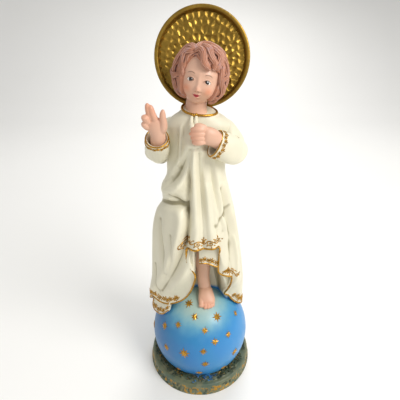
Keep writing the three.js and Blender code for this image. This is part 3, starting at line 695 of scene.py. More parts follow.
def build_robe():
    shape = Shape()
    rows = CLOTH_ROWS + TURN_ROWS + LINING_ROWS + 2

    def place(around, along):
        w = 2 * around - 1
        start = 180 * (0.62 * w + 0.38 * w**3)
        row = along * rows
        end, hem, _, _ = hem_at(start)
        collar = collar_height(start)
        t = np.clip((row - 1) / (CLOTH_ROWS - 1), 0, 1) ** 1.1
        face = cloth(start, mix(collar, hem, t))
        turn = (row - CLOTH_ROWS) / TURN_ROWS
        inward = unit(xyz(-2.5 - face[:, 0], -face[:, 1], 0))
        tucked = np.clip(turn, 0, 1)[:, None]
        inner = face + inward * (HEM_THICKNESS * np.sqrt(np.minimum(tucked * 2, 1)))
        inner[:, 2] += 5 * np.maximum(0, tucked[:, 0] - 0.4)
        share = np.clip((row - CLOTH_ROWS - TURN_ROWS - 1) / (LINING_ROWS - 1), 0, 1)
        wall = lining(start, mix(hem + 6, 76, share))
        out = np.where((row <= CLOTH_ROWS + TURN_ROWS + 0.1)[:, None], inner, wall)
        out[row < 0.5] = (-2.5, 1, ROBE_TOP - 5)
        out[row > rows - 0.5] = (0, 0, 70)
        return out

    shape.skin(392, rows, place)
    piece = shape.built("robe")
    mark_hollows(piece, 14, 2)
    return piece


def panel(name, columns, rows, place, thickness):
    """A piece of cloth: a grid moved to place(across, down), then thickened backwards."""
    mesh = bmesh.new()
    bmesh.ops.create_grid(mesh, x_segments=columns, y_segments=rows, size=0.5)
    at = np.array([v.co for v in mesh.verts])
    for vert, spot in zip(mesh.verts, place(at[:, 0] + 0.5, 0.5 - at[:, 1])):
        vert.co = spot / 1000
    data = bpy.data.meshes.new(name)
    mesh.to_mesh(data)
    mesh.free()
    if normals(data)[:, 1].mean() > 0:
        data.flip_normals()
    data.shade_smooth()
    piece = bpy.data.objects.new(name, data)
    bpy.context.scene.collection.objects.link(piece)
    mark_hollows(piece, 10, 2)
    thick = piece.modifiers.new("Thickness", "SOLIDIFY")
    thick.thickness = thickness / 1000
    thick.offset = -1
    return piece


def under_layer(across, down):
    hem = 163 - 5 * across + 1.5 * np.sin(2 * np.pi * across)
    wave = 0.5 * np.sin(3 * np.pi * across + 0.6)
    return on_robe(mix(3, 36, across), mix(196, hem, down), mix(-5, -8 + 3 * across, down) + wave)


TAIL_HEM = curve_through([[-118, 78], [-85, 79], [-70, 77], [-60, 78.5], [-47, 84.7], [-38, 92]])


def tail_fold(across, down):
    degrees = mix(-118, -38, across)
    out = mix(-6 - 4 * across, -3.5 * across, down) + 0.5 * np.sin(5 * np.pi * across) * down
    return on_robe(degrees, mix(118, TAIL_HEM(degrees)[0], down), out)


class Sleeve:
    """A wide tube that opens at the wrist. Its outside is face(turn, share)."""

    def __init__(self, knots, folds):
        self.line = spline(knots)
        self.folds = folds

    def face(self, turn, share, less=0.0):
        here = self.line(share)
        tangent = unit((self.line(share + 0.01) - self.line(share - 0.01))[:, :3])
        ahead = np.broadcast_to((0, -1, 0.2), tangent.shape)
        ahead = unit(ahead - tangent * np.sum(ahead * tangent, -1, keepdims=True))
        across = np.cross(tangent, ahead)
        opened = np.sqrt(np.clip(share / 0.12, 0.04, 1))[:, None]
        wave = (self.folds(turn, share) * np.sin(np.pi * share) ** 0.7 - less)[:, None]
        radius = (here[:, 3:] + wave) * opened
        turn = turn[:, None]
        return here[:, :3] + across * radius[:, :1] * np.cos(turn) + ahead * radius[:, 1:] * np.sin(turn)

    def add_to(self, shape):
        sides, outer, inner = 112, 84, 12
        rows = outer + inner

        def place(around, along):
            row = along * rows
            deep = np.maximum(0, row - outer)
            share = np.where(deep > 0, 1 - 0.02 * np.maximum(0, deep - 1), row / outer)
            less = np.where(deep > 0, 1.5 + 0.22 * deep, 0.0)
            out = self.face(2 * np.pi * around, share, less)
            out[row < 0.5] = self.line(np.zeros(1))[0, :3]
            out[row > rows - 0.5] = self.line(np.full(1, 0.8))[0, :3]
            return out

        shape.skin(sides, rows, place)


RAISED_SLEEVE = Sleeve(
    [
        [-16, 3, 301, 7, 7], [-27, 4, 293, 10.5, 11], [-36, 3, 281, 11.5, 12],
        [-40, -5, 273.5, 11.5, 11], [-38.5, -15, 281, 11, 11], [-38, -22, 291, 10.5, 11.5],
    ],
    lambda turn, share: 0.9 * np.sin(3 * turn + 7 * share) + 0.8 * np.sin(26 * share + 1.5 * np.sin(turn))
    * bell(share - 0.55, 0.2),
)
HOLDING_SLEEVE = Sleeve(
    [
        [14, 3, 300, 7, 7], [24, 3, 292, 11, 11], [30, -2, 280.5, 12, 12.5],
        [30.5, -10, 276.5, 12.6, 12.5], [24, -19, 280.5, 13, 10], [13, -26, 287, 12.4, 7.6],
    ],
    lambda turn, share: 0.9 * np.sin(3 * turn + 9 * share) + 0.8 * np.sin(24 * share + 1.5 * np.sin(turn))
    * bell(share - 0.5, 0.22),
)


def build_sleeves():
    shape = Shape()
    for sleeve in (RAISED_SLEEVE, HOLDING_SLEEVE):
        sleeve.add_to(shape)
    for x in (-7, -3):
        shape.tube([[x, -13.6, 309.5, 1.3], [x - 0.6, -19, 304, 1.9], [x + 0.4, -27, 300, 2.6]])
    piece = shape.built("sleeves")
    mark_hollows(piece, 14, 2)
    return piece


# Gold trims

def spiral(s, h, radius, first, turns, way, count=13):
    """A curl round (s, h) that starts on its outside at the angle first."""
    u = np.linspace(0, 1, count)
    angle = np.radians(first) + way * 2 * np.pi * turns * u
    reach = radius * (1 - 0.82 * u)
    return np.stack([s + reach * np.cos(angle), h + reach * np.sin(angle)], -1)


def scroll_marks(length, height, period, weight):
    """A running scroll for a band: paths of (s, h) with the radii of their ends."""
    marks = []
    count = max(1, round(length / period))
    period = length / count
    middle, swing = height * 0.55, height * 0.17
    curl = height * 0.27
    for k in range(count):
        s0 = k * period
        u = np.linspace(0, 1, 13)
        stem = np.stack([s0 + period * u, middle + swing * np.sin(2 * np.pi * u)], -1)
        marks.append((stem, weight, weight))
        for side, share in ((-1, 0.25), (1, 0.75)):
            s, h = s0 + period * share, middle + side * swing * 0.55
            marks.append((spiral(s, h, curl, -90 * side, 1.35, -side), weight, weight * 0.8))
            marks.append((np.array([[s - 0.1, h], [s + 0.1, h], [s + 0.2, h]]), weight * 1.6, weight * 1.6))
            for angle in (35, 90, 145):
                a = math.radians(angle * side)
                tip = np.array([math.cos(a), math.sin(a)])
                root = np.array([s, h]) + tip * curl * 0.95
                bend = root + tip * height * 0.12 + np.array([height * 0.04, 0])
                marks.append((np.stack([root, bend, root + tip * height * 0.2]), weight * 1.5, weight * 0.5))
    return marks


def lay_marks(shape, marks, surface, lift):
    """Raises each path of the marks as a small rounded rib on a surface(s, h)."""
    sizes = [len(path) for path, _, _ in marks]
    s, h = np.concatenate([path for path, _, _ in marks]).T
    at, along, up = surface(s, h), surface(s + 0.3, h), surface(s, h + 0.3)
    out = unit(np.cross(along - at, up - at))
    at = at + out * lift
    first = 0
    for (path, thick, thin), count in zip(marks, sizes):
        rows = slice(first, first + count)
        first += count
        radii = np.linspace(thick, thin, count)
        knots = np.column_stack([at[rows], radii, radii * 1.1])
        steps = 12 if count > 6 else 5
        shape.tube(knots, 5, steps, toward=out[rows], ends=0.12 if count > 6 else 0.45)


class HemBand:
    """The strip of cloth along a stretch of the hem: s runs along the edge and h up from it."""

    def __init__(self, first, last):
        start = np.linspace(first, last, 400)
        end, height, _, _ = hem_at(start)
        _, _, half_x, half_y = robe_form(height)
        self.scale = np.radians((half_x + half_y) / 2)
        arc = np.concatenate([[0], np.cumsum(np.diff(end) * self.scale[1:])])
        step = np.hypot(np.diff(arc), np.diff(height))
        self.length = step.sum()
        self.s = np.concatenate([[0], np.cumsum(step)])
        self.degrees, self.height = end, height
        slope = np.gradient(height, self.s)
        run = np.gradient(arc, self.s)
        soft = np.ones(41) / 41
        self.up_arc = np.convolve(np.pad(-slope, 20, "edge"), soft, "valid")
        self.up_height = np.convolve(np.pad(run, 20, "edge"), soft, "valid")

    def surface(self, s, h):
        read = lambda values: np.interp(s, self.s, values)
        degrees = read(self.degrees) + read(self.up_arc) * h / read(self.scale)
        return cloth_at(degrees, read(self.height) + read(self.up_height) * h)


def cuff_surface(sleeve, girth, length):
    """A strip round the mouth of a sleeve: s runs round it and h back from the mouth."""
    return lambda s, h: sleeve.face(2 * np.pi * s / girth, 0.995 - h / length)


def ring(shape, points, radius, toward, sides=8):
    """A cord along a line of points."""
    knots = np.column_stack([points, np.full(len(points), radius), np.full(len(points), radius)])
    shape.tube(knots, sides, len(points) * 2, toward=toward, ends=0.002)


def build_edges(edge_radius):
    """The gold cords on the hem, the collar and the cuffs, and the knot at the neck."""
    shape = Shape()
    start = np.concatenate([
        np.linspace(-180, -90, 60, endpoint=False), np.linspace(-90, 90, 300, endpoint=False),
        np.linspace(90, 180, 60),
    ])
    _, hem, _, _ = hem_at(start)
    edge = cloth(start, hem + 0.5)
    inward = unit(xyz(-2.5 - edge[:, 0], -edge[:, 1], 0))
    ring(shape, edge + inward * 0.35, edge_radius, -inward)
    start = np.linspace(-180, 180, 60)
    collar = cloth(start, collar_height(start) - 0.6)
    ring(shape, collar, 1.15, unit(collar - np.array([-2.5, 1, 300])))
    across = np.linspace(0, 1, 30)
    under = under_layer(across, np.full(30, 0.985))
    ring(shape, under, 0.7, unit(under * (1, 1, 0)))
    tail = tail_fold(across, np.full(30, 0.985))
    ring(shape, tail, 0.7, unit(tail * (1, 1, 0)))
    for sleeve in (RAISED_SLEEVE, HOLDING_SLEEVE):
        turn = np.linspace(0, 2 * np.pi, 60)
        middle = sleeve.line(np.ones(1))[0, :3]
        mouth = sleeve.face(turn, np.full(60, 0.995), 0.5)
        ring(shape, mouth, 0.75, unit(mouth - middle))
    for x, z, r in ((-5.2, 309.6, 1.7), (-3.2, 310.2, 1.4), (-7, 310, 1.4)):
        shape.tube([[x - 0.4, -14, z, r], [x, -14.8, z - 0.3, r], [x + 0.4, -14, z - 0.6, r]], 12, 10, ends=0.5)
    return shape.built("gold_edges")


def build_scrolls():
    """The raised scroll work along the hems and the cuffs."""
    shape = Shape()
    for first, last in ((-89, -23), (-6.5, 24), (36, 47.5), (62, 178), (-178, -95)):
        band = HemBand(first, last)
        marks = scroll_marks(band.length, 9.5, 12, 0.6)
        marks = [(path + (0, 1.6), thick, thin) for path, thick, thin in marks]
        lay_marks(shape, marks, band.surface, 0.1)
    under = lambda s, h: under_layer(s / 26, 1 - h / 33)
    marks = [(p + (0, 1.4), a, b) for p, a, b in scroll_marks(26, 7.5, 10, 0.52)]
    lay_marks(shape, marks, under, 0.1)
    tail = lambda s, h: tail_fold(s / 68, 1 - h / 38)
    marks = [(p + (0, 1.4), a, b) for p, a, b in scroll_marks(68, 8, 11, 0.56)]
    lay_marks(shape, marks, tail, 0.1)
    for sleeve in (RAISED_SLEEVE, HOLDING_SLEEVE):
        girth = 62
        marks = [(p + (0, 0.9), a, b) for p, a, b in scroll_marks(girth, 4.2, 6.2, 0.42)]
        lay_marks(shape, marks, cuff_surface(sleeve, girth, 62), 0.1)
    return shape.built("hem_scrolls")


# Hands, leg and foot

def build_raised_hand():
    """Palm forward: two fingers up, two curled, the thumb apart."""
    shape = Shape()
    shape.tube([
        [-39, -10, 276, 6.4], [-37.6, -19, 286, 7], [-36.6, -24.6, 294.5, 6.6, 5.4],
        [-37.8, -26.6, 302.5, 7.4, 4.6], [-40, -27.6, 309.6, 6.6, 3.8],
    ], 32, 32)
    for finger in (
        [[-36.4, -28, 305, 2.9], [-39.4, -29, 313, 2.7], [-41.2, -29.6, 320.6, 2.2]],
        [[-40.4, -27.4, 306, 2.9], [-42.6, -28.4, 314, 2.7], [-43.6, -29, 322, 2.2]],
        [[-42.4, -27, 304, 3], [-45.6, -30, 309.4, 3.2], [-46, -31.6, 312, 2.6]],
        [[-43, -26, 299.6, 2.8], [-46.4, -29, 303.8, 3], [-47, -30.6, 306.4, 2.4]],
        [[-33.4, -25.6, 295, 4], [-30.8, -28, 303.6, 3.4], [-31.2, -29, 310.6, 2.8], [-30.6, -29.4, 317, 2.1]],
    ):
        shape.tube(finger, 20, 20, ends=0.25)
    return finished_skin(shape, "raised_hand", (-42, -29, 320), 12)


def build_holding_hand():
    """Closed on the cloth: the back of the hand and four fingers."""
    shape = Shape()
    shape.tube([
        [22, -20, 284, 7], [15, -26, 289.6, 7, 6], [8, -30.6, 294.6, 8, 6], [1, -32.4, 296, 7.2, 4.8],
    ], 32, 32)
    shape.tube([[6, -32.4, 301, 2.8], [0, -34, 304, 2.6], [-5, -33.4, 303.4, 2.1]], 20, 20, ends=0.25)
    for i in range(4):
        z = 301.4 - 3.6 * i
        reach = 1 - 0.13 * abs(i - 1)
        tip = [-9.4 * reach, -33.2, z - 0.4, 2.1]
        shape.tube([[5, -34, z - 0.4, 2.2], [-2 * reach, -36, z, 2.6], tip], 20, 20, ends=0.25)
    return finished_skin(shape, "holding_hand", (-8, -34, 296), 9)


def finished_skin(shape, name, rosy, reach):
    piece = shape.built(name, fuse=0.42, calm=4)
    mark_hollows(piece, 16, 3)
    at = spots(piece.data)
    remember(piece, "blush", 0.45 * bell(np.linalg.norm(at - np.array(rosy), axis=1), reach))
    return piece


TOES = [
    [1.4, -25.4, 2.9], [6, -26.4, 2.1], [9.4, -25.8, 2.0], [12.6, -24.4, 1.9], [15.2, -22.4, 1.8],
]


def build_foot(globe_radius):
    shape = Shape()

    def on_globe(x, y, r):
        return math.sqrt((globe_radius + r * 0.7) ** 2 - x * x - y * y) + GLOBE_CENTRE

    for x, y, r in TOES:
        shape.tube([
            [x, y + 8, on_globe(x, y + 8, r) + 2, r],
            [x, y + 2, on_globe(x, y + 2, r) + 0.8, r],
            [x, y - 2, on_globe(x, y - 2, r), r * 1.05],
        ], 20, 20, ends=0.25)
    shape.tube([
        [3, -1, 176, 10], [3, -3, 150, 9.4], [3.6, -4, 126, 7.4], [5, -4, 113, 7.4], [5, -3, 104, 7],
    ], 36, 40)
    shape.tube([
        [5.4, 1, 104, 7, 6], [6.4, -9, 107.5, 8, 6], [7.6, -18, 103, 9.6, 5], [8, -24, 98.5, 8.8, 3.6],
    ], 36, 36, toward=(0, 0, 1))
    return finished_skin(shape, "leg_and_foot", (8, -28, 97), 11)


# The head

HEAD_CENTRE = np.array([0.5, -1.0, 340.0])
HEAD_HALF = (18.8, 20.5, 23.5)
HEAD_ROLL, HEAD_TURN = math.radians(12), math.radians(-3)


def head_matrix():
    c, s = math.cos(HEAD_ROLL), math.sin(HEAD_ROLL)
    roll = np.array([[c, 0, s], [0, 1, 0], [-s, 0, c]])
    c, s = math.cos(HEAD_TURN), math.sin(HEAD_TURN)
    turn = np.array([[c, -s, 0], [s, c, 0], [0, 0, 1]])
    return roll @ turn


HEAD = head_matrix()


def on_head(points):
    return points @ HEAD.T + HEAD_CENTRE


def off_head(points):
    return (points - HEAD_CENTRE) @ HEAD


# [x, z, half width, half height, out] from the middle of the head, once on either side
FACE = [
    [0, -8.4, 1.9, 2.1, 2.1], [0, -3, 1.5, 4.6, 0.9], [1.9, -9.4, 1.3, 1.1, 0.9],
    [1.1, -10.8, 0.6, 0.5, -0.45], [7.3, -2.2, 4.2, 2.9, -2.1], [7.3, -2.4, 3.2, 2.2, 2.0],
    [6.8, 3.4, 5.2, 1.8, 0.7], [9.8, -10.5, 5, 5, 1.6], [1.5, -13.1, 1.9, 0.9, 0.75],
    [0, -15.4, 2.3, 1.0, 1.1], [0, -17.6, 3.4, 0.9, -0.5], [0, -20.2, 4.4, 2.6, 1.2],
    [0, -11.6, 0.6, 1.0, -0.35],
]
EYE_X, EYE_Z, EYE_HALF_WIDTH, EYE_HALF_HEIGHT = 7.3, -2.3, 2.9, 1.75
MOUTH_Z = -14.2


def eye_opening(x, z):
    """1 within the almond between the lids, falling to 0 at its edge."""
    u = (np.abs(x) - EYE_X) / EYE_HALF_WIDTH
    v = (z - EYE_Z + 0.25 * u) / EYE_HALF_HEIGHT
    return 1 - np.sqrt(u * u + v * v * (1 + 0.6 * u * u))


def head_surface(direction, fine=True):
    x, y, z = direction.T
    low = ease(-z)
    narrow = 1 - 0.14 * low - 0.08 * low * low * ease(-y)
    p = xyz(x * HEAD_HALF[0] * narrow, y * HEAD_HALF[1], z * HEAD_HALF[2])
    p[:, 1] *= np.where(y > 0, 0.92, 1)
    front = ease(-2 * y)
    rise = np.zeros(len(p))
    for fx, fz, wide, high, out in FACE:
        for side in (1, -1):
            rise += 0.5 * (1 + (fx > 0)) * out * bell(p[:, 0] - side * fx, wide) * bell(p[:, 2] - fz, high)
    if fine:
        line = p[:, 2] - MOUTH_Z - 0.05 * p[:, 0] ** 2
        rise -= 0.8 * bell(line, 0.4) * np.exp(-((p[:, 0] / 3.9) ** 4))
        opened = eye_opening(p[:, 0], p[:, 2])
        rise -= 1.3 * ease(opened * 3.2)
        rise += 0.45 * bell(opened + 0.14, 0.16) * (p[:, 2] > EYE_Z - 0.4)
        rise += 0.2 * bell(opened + 0.14, 0.14) * (p[:, 2] <= EYE_Z - 0.4)
    return p + direction * (rise * front)[:, None]


def sphere_point(around, along):
    turn, tilt = 2 * np.pi * around, np.pi * along
    return xyz(-np.sin(turn) * np.sin(tilt), np.cos(turn) * np.sin(tilt), np.cos(tilt))


def build_head():
    shape = Shape()

    def place(around, along):
        turned = around + 0.72 * np.sin(2 * np.pi * around) / (2 * np.pi)
        lowered = along - 0.07 * np.sin(2 * np.pi * (along - 0.6)) * np.sin(np.pi * along)
        return on_head(head_surface(sphere_point(turned, lowered)))

    shape.skin(232, 176, place)
    shape.tube([
        [-3.6, 1, 300, 12.5, 11], [-3.8, 1, 308, 10.6, 9.8], [-3.4, 1.4, 316, 9.6, 9.6], [-1, 1, 330, 9.2, 9.4],
    ], 48, 24, ends=0.12)
    piece = shape.built("head")
    mark_hollows(piece, 10, 2)
    at = off_head(spots(piece.data))
    x, y, z = at.T
    side = np.abs(x)
    face = (y < -6) & (z > -24)
    blush = 0.75 * bell(side - 9.6, 3.6) * bell(z + 9.6, 3.2) + 0.25 * bell(x, 1.8) * bell(z + 8.6, 1.8)
    remember(piece, "blush", np.where(face, blush, 0))
    line = z - MOUTH_Z - 0.05 * x**2
    upper = ease((0.95 + 0.35 * bell(side - 1.4, 1.0) - 0.1 * x**2 - line) / 0.4) * (line > -0.2)
    lower = ease((line + 1.75 - 0.16 * x**2) / 0.4) * (line <= -0.2)
    remember(piece, "lips", np.where(face, (upper + lower) * ease((3.9 - side) / 0.5), 0))
    brow = z - 3.6 + 0.11 * (side - 7) ** 2
    marks = 0.85 * bell(brow, 0.33) * ease((side - 3.6) / 1.6) * ease((11.2 - side) / 2)
    lash = eye_opening(x, z) + 0.02
    marks += 0.9 * bell(lash, 0.09) * (z > EYE_Z + 0.1) + 0.35 * bell(lash, 0.07) * (z < EYE_Z)
    marks += 0.8 * bell(line, 0.16) * ease((3.9 - side) / 0.6)
    marks += 0.5 * bell(np.hypot(side - 1.15, z + 10.9), 0.5)
    remember(piece, "line", np.where(face, np.clip(marks, 0, 1), 0))
    return piece


EYEBALL = 4.4


def build_eyes():
    shape = Shape()
    centres = []
    for side in (1, -1):
        aim = unit(np.array([[side * EYE_X, -18.3, EYE_Z]]))
        for _ in range(6):
            found = head_surface(aim, fine=False)
            aim = unit(found * 0 + [[side * EYE_X, found[0, 1], EYE_Z]] / np.array(HEAD_HALF))
        centres.append(found[0] + np.array([0, 1, 0]) * (EYEBALL + 0.55) - np.array([side * 0.6, 0, 0]))
        centre = centres[-1]
        shape.skin(48, 32, lambda around, along: on_head(centre + EYEBALL * sphere_point(around, along)))
    piece = shape.built("eyes")
    at = off_head(spots(piece.data))
    left = at[:, 0] > 0
    centre = np.where(left[:, None], centres[0], centres[1])
    local = at - centre
    front = local[:, 1] < 0
    remember(piece, "gaze", np.where(front, np.hypot(local[:, 0] - 0.1 * left, local[:, 2]), 9))
    glint = ease((0.62 - np.hypot(local[:, 0] - 0.75, local[:, 2] - 0.75)) / 0.3)
    remember(piece, "glint", np.where(front, glint, 0))
    return piece


# The hair: locks of [degrees round from the face, degrees up, how far out, radius] knots

LOCKS = [
    [[-30, 50, 3, 3], [-80, 50, 3.5, 3.6], [-86, 28, 4, 3.4], [-84, 14, 4.5, 3], [-90, 6, 6, 1.8]],
    [[-32, 46, 3, 2.6], [-58, 36, 3.5, 3.2], [-57, 20, 2.6, 2.6], [-49, 4, 1.4, 2], [-50, -6, 0.5, 1.2]],
    [[-86, 20, 4, 2.6], [-84, 2, 4.5, 3.2], [-82, -18, 4, 3], [-76, -38, 3, 2.6], [-54, -52, 0.5, 1.6]],
    [[-92, 8, 5, 2], [-84, -2, 6, 2.4], [-70, -6, 4, 2.2], [-52, 2, 1, 1.4]],
    [[-34, 56, 1.6, 3], [-60, 78, 1.4, 3.6], [60, 80, 2, 4], [84, 52, 3, 3.8], [90, 30, 3, 3]],
    [
        [-34, 46, 2, 2.6], [-14, 50, 4, 3.2], [0, 41, 4.2, 3], [4, 29, 3.4, 2.6], [14, 22, 2.6, 2.2],
        [24, 18, 1.6, 1.3],
    ],
    [[-20, 62, 3.5, 2.8], [10, 52, 5, 3.2], [20, 39, 4.4, 3], [32, 30, 3, 2.6], [31, 18, 1.4, 1.4]],
    [[0, 72, 2.4, 3], [40, 56, 3.6, 3.4], [52, 42, 4.6, 3.2], [44, 28, 3, 2.6], [34, 20, 1.6, 1.4]],
    [[40, 66, 2.4, 3], [74, 42, 3.4, 3.4], [86, 22, 3.6, 3.2], [80, 8, 3.6, 2.6], [60, 2, 2, 1.6]],
    [
        [60, 34, 3.5, 2.6], [58, 18, 2.6, 2.6], [60, 0, 2.6, 2.8], [74, -14, 4, 3], [78, -28, 4, 2.6],
        [62, -36, 1.5, 1.4],
    ],
    [[92, 20, 3, 3], [94, 0, 3.8, 3.2], [98, -22, 3.6, 3], [88, -42, 3.5, 2.4], [72, -50, 2, 1.4]],
    [[-120, 50, 2, 3.4], [-110, 24, 2.5, 3.8], [-118, -4, 2.5, 3.8], [-108, -30, 2.5, 3.2], [-116, -50, 2, 1.8]],
    [[-160, 56, 1, 3.6], [-146, 28, 1, 4], [-156, -2, 1, 4], [-144, -30, 1, 3.4], [-152, -52, 1, 1.8]],
    [[160, 60, 1, 3.6], [172, 30, 1, 4], [162, 0, 1, 4], [174, -30, 1, 3.4], [168, -54, 1, 1.8]],
    [[116, 56, 2, 3.6], [130, 28, 2.5, 4], [122, -2, 2.5, 4], [134, -30, 2.5, 3.4], [126, -52, 2, 1.8]],
]
hairline = curve_through([[-46, 12], [-38, 32], [-28, 40], [-8, 34], [10, 25], [30, 24], [50, 16]])


def lock_line(lock):
    """The middle of a lock and the way out of the head along it."""
    knots, outward = [], []
    for round_, up, out, radius in lock:
        a, e = math.radians(round_), math.radians(up)
        direction = np.array([[math.sin(a) * math.cos(e), -math.cos(a) * math.cos(e), math.sin(e)]])
        p = on_head(head_surface(direction, fine=False) + direction * out)[0]
        knots.append([*p, radius])
        outward.append(HEAD @ direction[0])
    return np.array(knots), np.array(outward)


def build_hair(strand_depth):
    shape = Shape()

    def cap(around, along):
        direction = sphere_point(around, along)
        round_ = np.degrees(np.arctan2(direction[:, 0], -direction[:, 1]))
        up = np.degrees(np.arcsin(np.clip(direction[:, 2], -1, 1)))
        face = ease((54 - np.abs(round_ - 4)) / 12) * ease((hairline(round_)[0] + 4 - up) / 10)
        nape = ease((-direction[:, 2] - 0.62) / 0.25)
        lift = mix(3, -4, np.maximum(face, nape))
        return on_head(head_surface(direction, fine=False) + direction * lift[:, None])

    shape.skin(96, 64, cap)
    middles, radii, outs, tangents, marks = [], [], [], [], []
    for number, lock in enumerate(LOCKS):
        knots, outward = lock_line(lock)
        line, out_line = spline(knots), spline(outward)
        share = np.linspace(0, 1, 40)
        here, out = line(share), unit(out_line(share))
        tangent = unit(np.gradient(here[:, :3], axis=0))
        out = unit(out - tangent * np.sum(out * tangent, -1, keepdims=True))
        across = np.cross(tangent, out)
        shape.tube(np.column_stack([here, here[:, 3] * 0.8]), 20, 40, toward=out, ends=0.16)
        for k in range(3):
            angle = 2 * np.pi * (k / 3) + 2.6 * share + number
            reach = here[:, 3] * 0.55
            offset = across * (reach * np.cos(angle))[:, None] + out * (0.8 * reach * np.sin(angle))[:, None]
            thick = here[:, 3] * (0.56 + 0.05 * np.sin(9 * share + k))
            shape.tube(np.column_stack([here[:, :3] + offset, thick, thick * 0.85]), 14, 40, toward=out, ends=0.14)
        middles.append(here[:, :3])
        radii.append(here[:, 3])
        outs.append(out)
        tangents.append(tangent)
        marks.append(np.full(40, number))
    piece = shape.built("hair", fuse=0.46, calm=2)
    middles, outs, tangents = np.vstack(middles), np.vstack(outs), np.vstack(tangents)
    radii, marks = np.concatenate(radii), np.concatenate(marks)
    tree = kdtree.KDTree(len(middles))
    for i, p in enumerate(middles):
        tree.insert(p, i)
    tree.balance()
    at, out = spots(piece.data), normals(piece.data)
    nearest = np.array([tree.find(p)[1] for p in at])
    away = at - middles[nearest]
    ahead = np.sum(away * outs[nearest], -1)
    side = np.sum(away * np.cross(tangents[nearest], outs[nearest]), -1)
    angle = np.arctan2(ahead, side)
    groove = np.cos(angle * 11 + 1.7 * marks[nearest])
    close = ease((radii[nearest] * 2.2 - np.linalg.norm(away, axis=1)) / radii[nearest])
    cut = averaged(piece.data, (groove * close)[:, None], 1)[:, 0]
    move(piece, at + out * (strand_depth * cut)[:, None])
    mark_hollows(piece, 8, 1)
    return piece


# The globe, its stars and the base

def build_globe(globe_radius):
    shape = Shape()

    def place(around, along):
        p = sphere_point(around, along) * globe_radius
        p[:, 2] = np.maximum(p[:, 2] + GLOBE_CENTRE, 4)
        return p

    shape.skin(160, 96, place)
    return shape.built("globe")


# Where each star sits, as a direction from the middle of the globe, and its size
STARS = [
    [-12.7, -20.2, 52.3, 1.1], [-5.9, -34.1, 45.9, 0.9], [19.2, -32, 43.8, 1.15], [41.6, -18.2, 35.3, 0.75],
    [-40.5, -29.8, 27.8, 0.95], [-24.4, -36.9, 36.8, 0.85], [5.3, -44.4, 36.1, 0.85], [31.7, -40.5, 25.7, 0.85],
    [16.5, -49.3, 24.5, 0.9], [-38.4, -42.1, 7.6, 0.85], [-17.4, -53.6, 11.5, 1.25], [3.7, -55.1, 16.1, 0.85],
    [40, -41.3, -0.8, 1], [5.8, -57.2, -1.1, 0.95], [-0.9, -54.1, -19.5, 0.8], [-25, -46.4, -23.1, 0.6],
    [27.3, -46, -21.2, 0.7], [-56.4, -8.4, 7.7, 0.9],
]


def build_stars(globe_radius, star_radius, places):
    """Eight-rayed stars raised on the globe, their long and short rays in turn."""
    mesh = bmesh.new()
    for number, (x, y, z, scale) in enumerate(places):
        out = unit(np.array([x, y, z], float))
        side = unit(np.cross((0, 0, 1.0), out))
        up = np.cross(out, side)
        made = bmesh.ops.create_circle(mesh, cap_ends=True, segments=16, radius=1)["verts"]
        face = made[0].link_faces[0]
        top = bmesh.ops.extrude_face_region(mesh, geom=[face])
        crown = [e for e in top["geom"] if isinstance(e, bmesh.types.BMVert)]
        face = next(e for e in top["geom"] if isinstance(e, bmesh.types.BMFace))
        peak = bmesh.ops.poke(mesh, faces=[face])["verts"]
        spin = 0.35 * math.sin(5.1 * number)
        for verts, height, reach in ((made, -0.6, 1.05), (crown, 0.35, 0.96), (peak, 1.0, 0)):
            for vert in verts:
                k = round(math.atan2(vert.co.y, vert.co.x) / (math.pi / 8)) % 16
                ray = (1.0 if k % 4 == 0 else 0.86) if k % 2 == 0 else 0.42
                angle = k * math.pi / 8 + spin
                r = star_radius * scale * ray * reach
                flat = out * globe_radius + side * (r * math.cos(angle)) + up * (r * math.sin(angle))
                vert.co = unit(flat) * (globe_radius + height) + np.array([0, 0, GLOBE_CENTRE])
    bmesh.ops.scale(mesh, vec=(0.001,) * 3, verts=mesh.verts)
    bmesh.ops.recalc_face_normals(mesh, faces=mesh.faces)
    data = bpy.data.meshes.new("stars")
    mesh.to_mesh(data)
    mesh.free()
    piece = bpy.data.objects.new("stars", data)
    bpy.context.scene.collection.objects.link(piece)
    return piece


base_profile = curve_through([
    [0.0, 0, 0], [0.30, 62.8, 0], [0.32, 63, 0.4], [0.36, 63, 1.5], [0.44, 62, 5], [0.52, 61.8, 9],
    [0.58, 59.4, 12.4], [0.64, 57, 13.0], [0.72, 53.5, 14.6], [0.80, 49, 14.4], [0.84, 45, 13], [1.0, 0, 13.4],
])


def build_base(base_radius):
    shape = Shape()

    def place(around, along):
        r, z = base_profile(along)
        r = r * base_radius / 63
        turn = 2 * np.pi * around
        p = xyz(-r * np.sin(turn), r * np.cos(turn), z)
        rough = ripple(p, 2.2, 3) + 0.5 * ripple(p, 1.0, 5) + 0.8 * ripple(p, 6, 9)
        side = ease((z - 0.5) / 1.5) * ease((10.8 - z) / 2) * (r > 40)
        top = ease((z - 13.4) / 0.8) * ease((r - 42) / 3)
        shoulder = 0.18 * (r > 50) * (z > 9)
        share = np.maximum(np.maximum(side, top), shoulder)
        depth = (np.clip(rough, -1, 0.9) - 0.9) * share
        p[:, :2] *= (1 + (depth * 0.9 * (1 - top)) / 63)[:, None]
        p[:, 2] += depth * 0.8 * top
        return p

    shape.skin(420, 150, place)
    piece = shape.built("base")
    at = spots(piece.data)
    rough = ripple(at, 2.2, 3) + 0.5 * ripple(at, 1.0, 5) + 0.8 * ripple(at, 6, 9)
    side = ease(at[:, 2] / 1.5) * ease((11.2 - at[:, 2]) / 2)
    remember(piece, "relief", rough * side + 0.25 * side - 0.1 * (1 - side))
    return piece


